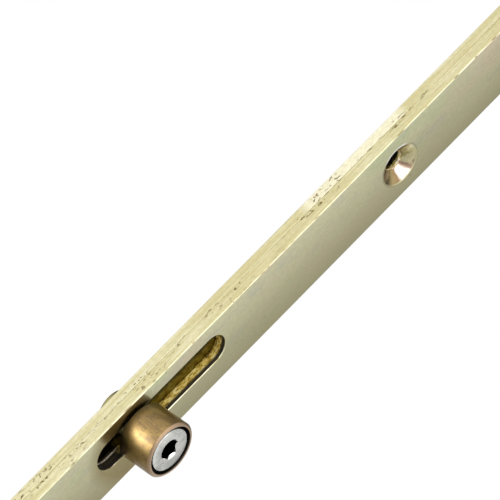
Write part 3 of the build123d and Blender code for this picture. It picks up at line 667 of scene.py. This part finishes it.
def repeat_tree():
    """Sets one master piece at every corner of a mesh, each turned by its own amount."""
    tree, given = new_tree(
        "Repeated fasteners", Places="Geometry", Master="Object", Turn="Float", Axis="Vector", Seed="Int",
        Material="Material",
    )
    master = add(tree, "GeometryNodeObjectInfo", {"Object": given["Master"]}, transform_space="ORIGINAL")
    bounds = {"Seed": given["Seed"], 3: given["Turn"]}
    chance = add(tree, "FunctionNodeRandomValue", bounds, data_type="FLOAT")
    scaled = {0: given["Axis"], "Scale": chance.outputs[1]}
    angle = add(tree, "ShaderNodeVectorMath", scaled, operation="SCALE")
    turn = add(tree, "FunctionNodeEulerToRotation", {"Euler": angle.outputs[0]})
    placed = add(tree, "GeometryNodeInstanceOnPoints", {
        "Points": given["Places"],
        "Instance": master.outputs["Geometry"],
        "Rotation": turn.outputs[0],
    })
    end_tree(tree, placed.outputs[0], given["Material"])
    return tree


def coil_tree():
    """A spring wound from wire, with one closed turn at each end."""
    tree, given = new_tree(
        "Wound spring", Turns="Float", Radius="Float", Wire="Float", Length="Float", Turned="Rotation",
        Place="Vector", Material="Material",
    )
    winding = add(tree, "GeometryNodeCurveSpiral", {
        "Resolution": 40,
        "Rotations": given["Turns"],
        "Start Radius": given["Radius"],
        "End Radius": given["Radius"],
        "Height": 0.0,
    })
    along = add(tree, "GeometryNodeSplineParameter").outputs["Factor"]
    share = worked(tree, ("DIVIDE", 1.0, given["Turns"]))
    rest = worked(tree, ("SUBTRACT", 1.0, share))
    wire = worked(tree, product(given["Wire"], 2.0))
    between = ("SUBTRACT", ("SUBTRACT", given["Length"], wire), product(wire, 2.0))
    low = ("RANGE", along, 0.0, share, 0.0, wire)
    middle = ("RANGE", along, share, rest, 0.0, between)
    high = ("RANGE", along, rest, 1.0, 0.0, wire)
    rise = worked(tree, ("ADD", ("ADD", low, middle), ("ADD", high, given["Wire"])))
    lift = add(tree, "ShaderNodeCombineXYZ", {"Z": rise})
    wound = add(tree, "GeometryNodeSetPosition", {"Geometry": winding.outputs[0], "Offset": lift.outputs[0]})
    section = add(tree, "GeometryNodeCurvePrimitiveCircle", {"Resolution": 14, "Radius": given["Wire"]})
    drawn = add(tree, "GeometryNodeCurveToMesh", {
        "Curve": wound.outputs[0],
        "Profile Curve": section.outputs[0],
        "Fill Caps": True,
    })
    put = add(tree, "GeometryNodeTransform", {
        "Geometry": drawn.outputs[0],
        "Translation": given["Place"],
        "Rotation": given["Turned"],
    })
    end_tree(tree, put.outputs[0], given["Material"])
    return tree


def grown(name, places, tree, **values):
    """Runs a tree on a mesh of bare points and keeps the result as a plain mesh."""
    base = bpy.data.meshes.new(name)
    base.from_pydata(places, [], [])
    thing = shown(name, base)
    modifier = thing.modifiers.new(tree.name, "NODES")
    modifier.node_group = tree
    for socket in tree.interface.items_tree:
        if socket.in_out == "INPUT" and socket.name in values:
            modifier[socket.identifier] = values[socket.name]
    return settled(thing)


def repeated(name, master, places, body, slot, node, turn, axis, seed):
    """Copies of a master mesh at each of the places, fitted as one piece."""
    model = shown(name + "_master", master)
    tree = bpy.data.node_groups.get("Repeated fasteners") or repeat_tree()
    thing = grown(name, places, tree, Master=model, Turn=turn, Axis=axis, Seed=seed, Material=finish(slot))
    bpy.data.objects.remove(model)
    fitted(thing, body, slot, node)


# Settings
def sized(name, description, size):
    """A setting that holds a length, whose default is given in millimetres."""
    return bpy.props.FloatProperty(name=name, description=description, default=size * MM, unit="LENGTH")


def coloured(name, description, code):
    """A setting that holds a colour, whose default is an sRGB hex code."""
    return bpy.props.FloatVectorProperty(
        name=name, description=description, subtype="COLOR", default=linear(code))


class FaceplateSettings(bpy.types.PropertyGroup):
    """Sizes of the faceplate and of the rails behind it."""
    half_width: sized("Half width", "Half of the faceplate's width", 10.0)
    thickness: sized("Thickness", "Thickness of the faceplate", 3.0)
    edge: sized("Front edge", "Radius of the faceplate's front edge", 0.28)
    rail_front: sized("Rail front", "Depth of the rails' front face", 3.04)
    rail_back: sized("Rail back", "Depth of the rails' back face", 5.58)
    slot_half: sized("Slot half width", "Half of the width of the roller slots", 4.35)
    slot_length: sized("Slot length", "Length of the roller slots", 44.2)
    slot_edge: sized("Slot edge", "Radius of the roller slots' front edge", 0.3)


class RollerSettings(bpy.types.PropertyGroup):
    """Sizes of the roller cams and their studs."""
    radius: sized("Roller radius", "Outer radius of the rollers", 7.5)
    reach: sized("Reach", "How far a roller stands out of the faceplate", 10.3)
    recess: sized("Recess radius", "Radius of the recess that holds the stud's head", 6.5)
    head: sized("Head radius", "Radius of the stud's head", 5.82)
    socket: sized("Hex socket", "Width of the hex socket across its flats", 5.0)
    foot: sized("Foot radius", "Radius of the foot behind the rail", 5.6)


class SpringSettings(bpy.types.PropertyGroup):
    """Sizes of the two springs."""
    wire: sized("Wire radius", "Radius of the springs' wire", 0.45)
    latch_radius: sized("Latch spring", "Middle radius of the latch spring", 3.7)
    follower_radius: sized("Follower spring", "Middle radius of the follower spring", 2.3)


class FinishSettings(bpy.types.PropertyGroup):
    """Colours of the finishes."""
    film_light: coloured("Film", "Main colour of the passivated film", "#D2CFAB")
    film_green: coloured("Green film", "Colour of the film where it turns to green", "#C6CAA2")
    # Also laid over the face toward its far edge as painted shade.
    film_deep_and_shade: coloured("Deep film", "Colour of the film where it is thicker", "#A09A74")
    film_warm: coloured("Warm film", "Colour of the film where it turns to pink", "#D6C6AB")
    film_edge: coloured("Edge film", "Colour of the film on the strip's edges", "#D2CA9F")
    film_pool: coloured("Pooled film", "Colour of the film inside slots and holes", "#E6C85C")
    film_roughness: bpy.props.FloatProperty(
        name="Film roughness", description="Roughness of the passivated skin",
        subtype="FACTOR", default=0.19, min=0.0, max=1.0)
    crown: bpy.props.FloatProperty(
        name="Crown", description="Crown of the rolled strip, as height over width squared",
        default=1.2)
    bronze_light: coloured("Bronze", "Colour of the bronze's gold ground", "#927434")
    bronze_dark: coloured("Dark bronze", "Colour of the bronze's brown pits", "#46351C")
    steel: coloured("Stud steel", "Colour of the turned studs", "#CBCBC6")
    zinc: coloured("Zinc", "Colour of the zinc plated case", "#B4B8BB")
    screw: coloured("Screws", "Colour of the screws and posts", "#CDCECD")
    nickel: coloured("Nickel", "Colour of the nickel plated bolts", "#C9C5BB")
    casting: coloured("Casting", "Colour of the cast follower and gear", "#A2A4A1")
    wire: coloured("Wire", "Colour of the springs' wire", "#7C7D7E")


class StageSettings(bpy.types.PropertyGroup):
    """The camera's place and the studio round the lock."""
    distance: sized("Camera distance", "From the camera to the middle of the view", 1600)
    frame_width: sized("View width", "Width of the view at the lock", 119.45)
    floor: coloured("Floor", "Colour of the floor", "#ECECEA")


# Operators
class DOORLOCK_OT_faceplate(bpy.types.Operator):
    """Makes the faceplate with its slots, openings and countersunk holes"""
    bl_idname = "doorlock.faceplate"
    bl_label = "Faceplate"

    def execute(self, context):
        sizes = context.scene.doorlock_faceplate
        back = sizes.thickness
        lowest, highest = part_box("faceplate")
        openings = []
        reach = sizes.slot_length / 2
        for height in ROLLER_HEIGHTS.values():
            middle = height + SLOT_ABOVE_ROLLER
            slot = oblong(sizes.slot_half, middle - reach, middle + reach, steps=24, aside=SLOT_ASIDE)
            openings.append((slot, wall(0.0, back, sizes.slot_edge, 0.03 * MM, OPENING)))
        # Holes: heights, radius, steps in a quarter turn, growths and depths, and a mark if they are sunk
        countersink = (
            (3.62, 0), (3.18, 0), (3.12, 0.03), (3.04, 0.09), (0.05, 2.16), (0, 2.24), (0, 2.9),
            (0.1, back / MM),
        )
        for heights, radius, steps, sink, *mark in (
            (SCREW_HEIGHTS, 2.6, 20, countersink, 1.0),
            (CASE_SCREW_HEIGHTS, 2.0, 16, ((2.0, 0), (1.9, 0.06), (0, 1.9), (0, back / MM))),
            (GUIDE_HEIGHTS, 3.0, 16, ((1.06, 0), (1.0, 0.04), (0, 1.0), (0, back / MM))),
        ):
            openings += [(circle(radius * MM, height, steps), in_metres(sink), *mark) for height in heights]
        corner = 0.25 * MM
        bolt_hole_half = 5.35 * MM
        for middle, half in ((LATCH_HEIGHT, 13.15 * MM), (DEADBOLT_HEIGHT, 10.65 * MM)):
            hole = oblong(bolt_hole_half, middle - half, middle + half, corner, corner, 4)
            openings.append((hole, wall(0.0, back, 0.15 * MM, 0.05 * MM, OPENING)))
        outline = oblong(sizes.half_width, lowest[2], highest[2], steps=28)
        mesh, crisp = plate((outline, wall(0.0, back, sizes.edge, 0.08 * MM, OUTLINE)), openings)
        thing = shown("faceplate_strip", to_mesh("faceplate_strip", mesh, crisp))
        fitted(thing, "lock_frame", "passivated_steel", "faceplate")
        return {"FINISHED"}


class DOORLOCK_OT_rails(bpy.types.Operator):
    """Makes the two drive rails that slide behind the faceplate"""
    bl_idname = "doorlock.rails"
    bl_label = "Drive rails"

    def execute(self, context):
        sizes = context.scene.doorlock_faceplate
        front, back = sizes.rail_front, sizes.rail_back
        square = 0.4 * MM
        guide_slot_half = 3.15 * MM
        screw_slot_half = 3.1 * MM
        stud_hole = 4.05 * MM
        rivet_hole = 2.0 * MM
        passing = [(height, guide_slot_half) for height in GUIDE_HEIGHTS]
        passing += [(height, screw_slot_half) for height in SCREW_HEIGHTS]
        for which, ends in (("upper", (square, None)), ("lower", (None, square))):
            lowest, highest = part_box(which + "_rail")
            outline = oblong(sizes.half_width, lowest[2], highest[2], *ends, steps=28)
            through = wall(front, back, 0.1 * MM, 0.15 * MM, OPENING)
            openings = [
                (oblong(half, height - RAIL_TRAVEL - half, height + half, steps=12), through)
                for height, half in passing
                if lowest[2] < height < highest[2]
            ]
            stud = circle(stud_hole, ROLLER_HEIGHTS[which], aside=SLOT_ASIDE)
            openings.append((stud, wall(front, back, 0.1 * MM, 0.02 * MM, OPENING)))
            for height in RIVET_HEIGHTS[which]:
                hole = circle(rivet_hole, height, 8)
                openings.append((hole, wall(front, back, 0.05 * MM, 0.02 * MM, OPENING)))
            mesh, crisp = plate((outline, wall(front, back, 0.08 * MM, 0.16 * MM, OUTLINE)), openings)
            name = which + "_rail_strip"
            fitted(shown(name, to_mesh(name, mesh, crisp)), "drive", "passivated_steel", which + "_rail")
        return {"FINISHED"}


class DOORLOCK_OT_rail_guides(bpy.types.Operator):
    """Makes the headed guides that are riveted flush into the faceplate"""
    bl_idname = "doorlock.rail_guides"
    bl_label = "Rail guides"

    def execute(self, context):
        profile = [
            (0, 0.03), (3.6, 0.03), (3.9, 0.05), (3.95, 0.1), (2.98, 1.02), (2.98, 3.2), (3.0, 3.3),
            (3.0, 5.68), (4.8, 5.68), (4.95, 5.76), (5.0, 5.9), (5.0, 6.78), (4.85, 7.08), (4.5, 7.28),
            (1.9, 7.28), (1.6, 7.1), (0, 7.0),
        ]
        master = to_mesh("rail_guide", turned(in_metres(profile), count=64))
        places = [(0, 0, height) for height in GUIDE_HEIGHTS]
        repeated(
            "riveted_guides", master, places, "lock_frame", "passivated_steel", "rail_guides",
            turn=2 * pi, axis=(0, 1, 0), seed=3)
        return {"FINISHED"}


class DOORLOCK_OT_rollers(bpy.types.Operator):
    """Makes the two bronze rollers"""
    bl_idname = "doorlock.rollers"
    bl_label = "Rollers"

    def execute(self, context):
        sizes = context.scene.doorlock_roller
        outer, front, rim = sizes.radius / MM, -sizes.reach / MM, sizes.recess / MM
        profile = [
            (outer - 0.62, front), (outer - 0.55, front + 0.03), (outer - 0.05, front + 0.45),
            (outer, front + 0.55), (outer, -0.82), (outer - 0.05, -0.69), (outer - 0.22, -0.52),
            (outer - 0.30, -0.5), (4.75, -0.5), (4.62, -0.54), (4.55, -0.7), (4.55, -7.95), (4.65, -7.85),
            (4.8, -7.8), (rim, -7.8), (rim, front + 0.12), (rim + 0.03, front + 0.03), (rim + 0.1, front),
        ]
        for which, height in ROLLER_HEIGHTS.items():
            mesh = turned(in_metres(profile), height, 144, closed=True)
            name = which + "_bronze_roller"
            fitted(shown(name, to_mesh(name, mesh, axis=height)), which + "_cam", "bronze", which + "_roller")
        return {"FINISHED"}


class DOORLOCK_OT_studs(bpy.types.Operator):
    """Makes the eccentric studs with their hex sockets"""
    bl_idname = "doorlock.studs"
    bl_label = "Roller studs"

    def hex_loops(self, flat, mouth, front, height, count=96):
        """The loops of a hex socket's floor and of its lead-in, where it runs out into a round mouth."""
        loops = []
        lead_in = 0.65 * MM
        for floor in (4.0 * MM, None):
            loop = []
            for i in range(count):
                angle = 2 * pi * i / count
                radius = flat / cos((angle + pi / 6) % (pi / 3) - pi / 6)
                depth = floor or lead_in * (mouth - radius) / (mouth - flat)
                loop.append(Vector((radius * cos(angle), front + depth, height + radius * sin(angle))))
            loops.append(loop)
        return loops

    def execute(self, context):
        sizes = context.scene.doorlock_roller
        head, aside = sizes.head / MM, SLOT_ASIDE / MM
        mouth = 2.93
        set_back = 0.3
        front = set_back - sizes.reach / MM
        profile = in_metres([
            (0, front + 4.6, 0), (mouth, front, 0), (mouth + 0.06, front, 0), (head - 0.3, front, 0),
            (head - 0.2, front + 0.03, 0), (head - 0.04, front + 0.2, 0), (head, front + 0.32, 0),
            (head, front + 2.1, 0), (4.5, front + 2.1, 0), (4.5, -0.45, 0), (5.4, -0.45, 0), (5.5, -0.4, 0),
            (5.5, -0.15, 0), (5.45, -0.1, 0), (4.0, -0.1, aside), (4.0, 8.6, aside), (3.75, 8.83, aside),
            (1.2, 8.83, aside), (0.9, 8.5, aside), (0, 8.0, aside),
        ])
        for which, height in ROLLER_HEIGHTS.items():
            socket = self.hex_loops(sizes.socket / 2, mouth * MM, front * MM, height)
            mesh = turned(profile, height, socket=socket)
            name = which + "_hex_stud"
            thing = shown(name, to_mesh(name, mesh, axis=height))
            fitted(thing, which + "_stud", "bright_steel", which + "_roller_stud")
        return {"FINISHED"}


class DOORLOCK_OT_stud_feet(bpy.types.Operator):
    """Makes the rounded feet that hold the studs behind the rails"""
    bl_idname = "doorlock.stud_feet"
    bl_label = "Stud feet"

    def execute(self, context):
        outer = context.scene.doorlock_roller.foot / MM
        bore, front, back, round_off = 4.02, 5.63, 8.83, 1.4
        profile = [(bore, front), (outer - 0.1, front), (outer, front + 0.1)]
        for inwards, outwards in quarter(round_off, 8)[::-1]:
            profile.append((outer + inwards, back - outwards))
        profile += [(bore + 0.08, back), (bore, back - 0.08)]
        for which, height in ROLLER_HEIGHTS.items():
            name = which + "_rounded_foot"
            data = to_mesh(name, turned(in_metres(profile), height, closed=True), axis=height)
            data.transform(Matrix.Translation((SLOT_ASIDE, 0, 0)))
            fitted(shown(name, data), which + "_stud", "bright_steel", which + "_stud_foot")
        return {"FINISHED"}


class DOORLOCK_OT_screws(bpy.types.Operator):
    """Makes the slotted case screws, the cover screws and the rail rivets"""
    bl_idname = "doorlock.screws"
    bl_label = "Screws and rivets"

    def slotted(self, name, profile, slot_width, slot_depth, reach):
        """A turned screw with a slot sawn across its head."""
        screw = shown(name, to_mesh(name, turned(in_metres(profile), count=64)))
        saw = bmesh.new()
        bmesh.ops.create_cube(saw, size=1.0)
        bmesh.ops.scale(saw, vec=(2 * reach, 2 * slot_depth, slot_width), verts=saw.verts)
        cutter = shown(name + "_saw", to_mesh(name + "_saw", saw))
        cut = screw.modifiers.new("Sawn slot", "BOOLEAN")
        cut.object = cutter
        cut.solver = "EXACT"
        ease = screw.modifiers.new("Eased slot", "BEVEL")
        ease.width = 0.07 * MM
        ease.segments = 2
        ease.angle_limit = radians(50)
        data = settled(screw).data
        bpy.data.objects.remove(screw)
        bpy.data.objects.remove(cutter)
        return data

    def execute(self, context):
        master = self.slotted("case_screw", [
            (0, 0.02), (3.5, 0.03), (3.78, 0.09), (3.86, 0.2), (2.0, 2.0), (2.0, 14.0), (1.6, 14.3),
            (0, 14.3),
        ], slot_width=0.9 * MM, slot_depth=0.9 * MM, reach=6 * MM)
        places = [(0, 0, height) for height in CASE_SCREW_HEIGHTS]
        repeated(
            "slotted_case_screws", master, places, "lock_frame", "screw_steel", "case_screws",
            turn=0.0, axis=(0, 1, 0), seed=1)
        master = self.slotted("cover_screw", [
            (0, 0.03), (2.2, 0.03), (2.44, 0.08), (2.55, 0.2), (1.5, 1.25), (1.5, 8.8), (1.3, 9.0), (0, 9.0),
        ], slot_width=0.8 * MM, slot_depth=0.7 * MM, reach=4 * MM)
        cover_face = 8.5 * MM
        for corner in master.vertices:
            corner.co = Vector((cover_face - corner.co.y, corner.co.x, corner.co.z))
        places = [(0, depth * MM, height * MM) for depth, height in COVER_SCREW_PLACES]
        repeated(
            "slotted_cover_screws", master, places, "lock_frame", "screw_steel", "cover_screws",
            turn=2 * pi, axis=(1, 0, 0), seed=7)
        profile = [
            (0, 3.16), (1.9, 3.16), (2.0, 3.24), (2.0, 7.18), (3.1, 7.18), (3.2, 7.3), (3.2, 7.7),
            (2.9, 8.1), (2.3, 8.32), (1.4, 8.38), (0, 8.38),
        ]
        master = to_mesh("rail_rivet", turned(in_metres(profile), count=48))
        places = [(0, 0, height) for heights in RIVET_HEIGHTS.values() for height in heights]
        repeated(
            "domed_rail_rivets", master, places, "drive", "zinc_plated_steel", "rail_rivets",
            turn=2 * pi, axis=(0, 1, 0), seed=5)
        return {"FINISHED"}


class DOORLOCK_OT_case(bpy.types.Operator):
    """Makes the case's two shells and what holds them together"""
    bl_idname = "doorlock.case"
    bl_label = "Case"

    def execute(self, context):
        eased_copies(0.2 * MM, "lock_frame", "zinc_plated_steel", {
            "case_body": "case_tray", "case_cover": "case_lid", "latch_guide": "rod_bracket",
        })
        eased_copies(0.12 * MM, "lock_frame", "screw_steel", {
            "case_posts": "case_pillars", "bolt_guide_posts": "bolt_pillars", "gear_axle": "gear_pin",
            "thread_blocks": "tapped_blocks", "spring_seat": "spring_ledge",
        })
        return {"FINISHED"}


class DOORLOCK_OT_works(bpy.types.Operator):
    """Makes the drive slide, the key gear and the follower"""
    bl_idname = "doorlock.works"
    bl_label = "Drive slide, gear and follower"

    def execute(self, context):
        eased_copies(0.12 * MM, "drive", "zinc_plated_steel", {"drive_slide": "rack_slide"})
        eased_copies(0.12 * MM, "key_gear", "zinc_casting", {"key_gear": "notched_gear"})
        eased_copies(0.25 * MM, "follower", "zinc_casting", {"follower": "spindle_follower"})
        return {"FINISHED"}


class DOORLOCK_OT_bolts(bpy.types.Operator):
    """Makes the latch and the deadbolt"""
    bl_idname = "doorlock.bolts"
    bl_label = "Latch and deadbolt"

    def execute(self, context):
        eased_copies(0.3 * MM, "latch", "nickel_plate", {"latch_bolt": "sloped_latch"}, 3)
        eased_copies(0.2 * MM, "deadbolt", "nickel_plate", {"deadbolt": "square_deadbolt"}, 3)
        eased_copies(0.15 * MM, "latch", "screw_steel", {"latch_rod": "latch_bar"})
        eased_copies(0.1 * MM, "deadbolt", "screw_steel", {"deadbolt_pin": "bolt_pin"})
        eased_copies(0.15 * MM, "latch", "zinc_plated_steel", {"latch_hook": "latch_plate"})
        return {"FINISHED"}


class DOORLOCK_OT_springs(bpy.types.Operator):
    """Winds the latch spring and the follower spring"""
    bl_idname = "doorlock.springs"
    bl_label = "Springs"

    def execute(self, context):
        sizes = context.scene.doorlock_spring
        tree = coil_tree()
        for node, radius, axis, turn in (
            ("latch_spring", sizes.latch_radius, 1, (radians(-90), 0, 0)),
            ("follower_spring", sizes.follower_radius, 2, (0, 0, 0)),
        ):
            lowest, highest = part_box(node)
            place = [(low + high) / 2 for low, high in zip(lowest, highest)]
            place[axis] = lowest[axis]
            thing = grown(
                "wound_" + node, [], tree, Turns=9.0, Radius=radius, Wire=sizes.wire, Turned=turn,
                Length=highest[axis] - lowest[axis], Place=place, Material=finish("spring_steel"))
            fitted(thing, "lock_frame", "spring_steel", node)
        latch_spring = bpy.data.objects["wound_latch_spring"]
        follower_spring = bpy.data.objects["wound_follower_spring"]
        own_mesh(latch_spring)
        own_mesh(follower_spring)
        return {"FINISHED"}


class DOORLOCK_OT_stage(bpy.types.Operator):
    """Sets the floor, the soft lights and the camera"""
    bl_idname = "doorlock.stage"
    bl_label = "Stage"

    def execute(self, context):
        sizes = context.scene.doorlock_stage
        self.lay_floor(sizes)
        self.light_world()
        self.soft_lamp("overhead_softbox", (-0.806, 0.5, 0.3), away=1.1, size=0.9, power=0.35, fan=180)
        self.soft_lamp("side_softbox", (-0.67, 0.4, -0.6), away=0.35, size=0.38, power=0.31, fan=54)
        context.scene.camera = self.put_camera(sizes)
        context.scene.view_settings.view_transform = "Standard"
        return {"FINISHED"}

    def lay_floor(self, sizes):
        """A round matt floor just below the lock."""
        mesh = bmesh.new()
        bmesh.ops.create_circle(mesh, cap_ends=True, segments=96, radius=4.0)
        lowest = CAD_BOX[0][2]
        gap = 0.5 * MM
        for corner in mesh.verts:
            corner.co.z = lowest - gap
        data = bpy.data.meshes.new("floor")
        mesh.to_mesh(data)
        mesh.free()
        paint = bpy.data.materials.new("matt_floor")
        paint.use_nodes = True
        tree = paint.node_tree
        shader = tree.nodes["Principled BSDF"]
        shader.inputs["Base Color"].default_value = opaque(sizes.floor)
        shader.inputs["Roughness"].default_value = 0.9
        shader.inputs["Specular IOR Level"].default_value = 0.2
        # Far from the lock the floor fades to the white behind it.
        place = add(tree, "ShaderNodeTexCoord").outputs["Object"]
        away = add(tree, "ShaderNodeVectorMath", [place], operation="LENGTH").outputs["Value"]
        fade = worked(tree, product(("RANGE", away, 1.9, 3.8, 0.0, 1.0), self.seen_rays(tree)))
        white = add(tree, "ShaderNodeEmission", {"Color": (1, 1, 1, 1), "Strength": 1.0})
        mixed = add(tree, "ShaderNodeMixShader", [fade, shader.outputs[0], white.outputs[0]])
        tree.links.new(mixed.outputs[0], tree.nodes["Material Output"].inputs["Surface"])
        data.materials.append(paint)
        shown("floor", data)

    def put_camera(self, sizes):
        """The camera, at its distance from the middle of the view, turned as the photo was taken."""
        back = Vector((-0.80567, -0.50624, -0.3076))
        right = Vector((0.1947, -0.71673, 0.66962))
        aim = Vector((-0.158 * MM, 13.194 * MM, 612.894 * MM))
        lens = bpy.data.cameras.new("camera")
        lens.sensor_width = 36.0
        lens.lens = 36.0 * sizes.distance / sizes.frame_width
        lens.clip_end = 100.0
        camera = shown("camera", lens)
        turn = Matrix((right, back.cross(right), back)).transposed().to_4x4()
        turn.translation = aim + sizes.distance * back
        camera.matrix_world = turn
        return camera

    def soft_lamp(self, name, direction, away, size, power, fan):
        """A square soft lamp that faces the upper roller, and whose light fans out over so many degrees."""
        light = bpy.data.lights.new(name, "AREA")
        light.shape = "SQUARE"
        light.size = size
        light.energy = power
        light.spread = radians(fan)
        lamp = shown(name, light)
        aim = Vector((0, 0, ROLLER_HEIGHTS["upper"]))
        lamp.location = aim + Vector(direction).normalized() * away
        lamp.rotation_euler = Vector(direction).to_track_quat("Z", "Y").to_euler()
        lamp.visible_camera = False

    def seen_rays(self, tree, among=1.0):
        """1 for the camera's rays, and for those that metal or glass sends on, by this factor."""
        path = add(tree, "ShaderNodeLightPath").outputs
        sent = product(("MAXIMUM", path["Is Glossy Ray"], path["Is Transmission Ray"]), among)
        return worked(tree, ("MAXIMUM", path["Is Camera Ray"], sent))

    def light_world(self):
        """White behind the lock, and a studio that is brighter on the camera's left and in front."""
        world = bpy.data.worlds.new("studio")
        bpy.context.scene.world = world
        world.use_nodes = True
        tree = world.node_tree
        tree.nodes.clear()
        way = add(tree, "ShaderNodeTexCoord").outputs["Generated"]
        x, y, z = add(tree, "ShaderNodeSeparateXYZ", [way]).outputs[:3]
        # The directions of a bright side, of a darker part overhead, and of the paper behind the lock.
        side, over, paper = [
            add(tree, "ShaderNodeVectorMath", [way, direction], operation="DOT_PRODUCT").outputs["Value"]
            for direction in ((0.995, -0.1, 0.0), (0.29, 0.47, 0.83), (0.806, 0.506, 0.308))
        ]
        level = ("MULTIPLY_ADD", x, -0.6, 0.62)
        level = ("MULTIPLY_ADD", ("ABSOLUTE", ("SUBTRACT", y, 0.45)), 0.78, level)
        level = ("MULTIPLY_ADD", product(z, z), -0.5, level)
        level = ("ADD", level, ("RANGE", side, 0.93, 1.0, 0.0, 0.6))
        level = ("SUBTRACT", level, ("RANGE", over, 0.62, 0.88, 0.0, 0.55))
        level = worked(tree, ("MAXIMUM", level, 0.12))
        seen = self.seen_rays(tree, ("RANGE", paper, 0.89, 0.93, 0.0, 1.0))
        strength = worked(tree, ("MULTIPLY_ADD", ("SUBTRACT", 1.0, level), seen, level))
        glow = add(tree, "ShaderNodeBackground", {"Color": (1, 1, 1, 1), "Strength": strength})
        add(tree, "ShaderNodeOutputWorld", {"Surface": glow.outputs[0]})


class DOORLOCK_PT_pieces(bpy.types.Panel):
    """Lists the pieces and their sizes in the sidebar"""
    bl_label = "Door lock"
    bl_space_type = "VIEW_3D"
    bl_region_type = "UI"
    bl_category = "Door lock"

    def draw(self, context):
        layout = self.layout
        for operator in OPERATORS:
            layout.operator(operator.bl_idname)
        for group in GROUPS:
            box = layout.box()
            settings = getattr(context.scene, group)
            for name in settings.bl_rna.properties.keys():
                if name not in ("rna_type", "name"):
                    box.prop(settings, name)


OPERATORS = (
    DOORLOCK_OT_stage,
    DOORLOCK_OT_faceplate,
    DOORLOCK_OT_rails,
    DOORLOCK_OT_rail_guides,
    DOORLOCK_OT_rollers,
    DOORLOCK_OT_studs,
    DOORLOCK_OT_stud_feet,
    DOORLOCK_OT_screws,
    DOORLOCK_OT_case,
    DOORLOCK_OT_works,
    DOORLOCK_OT_bolts,
    DOORLOCK_OT_springs,
)
GROUPS = {
    "doorlock_faceplate": FaceplateSettings,
    "doorlock_roller": RollerSettings,
    "doorlock_spring": SpringSettings,
    "doorlock_finishes": FinishSettings,
    "doorlock_stage": StageSettings,
}


def register():
    for group in GROUPS.values():
        bpy.utils.register_class(group)
    for name, group in GROUPS.items():
        setattr(bpy.types.Scene, name, bpy.props.PointerProperty(type=group))
    for operator in OPERATORS:
        bpy.utils.register_class(operator)
    bpy.utils.register_class(DOORLOCK_PT_pieces)


def unregister():
    bpy.utils.unregister_class(DOORLOCK_PT_pieces)
    for operator in reversed(OPERATORS):
        bpy.utils.unregister_class(operator)
    for name in GROUPS:
        delattr(bpy.types.Scene, name)
    for group in reversed(GROUPS.values()):
        bpy.utils.unregister_class(group)


def main():
    """Makes the whole lock."""
    register()
    for operator in OPERATORS:
        group, name = operator.bl_idname.split(".")
        getattr(getattr(bpy.ops, group), name)()


if __name__ == "__main__":
    main()
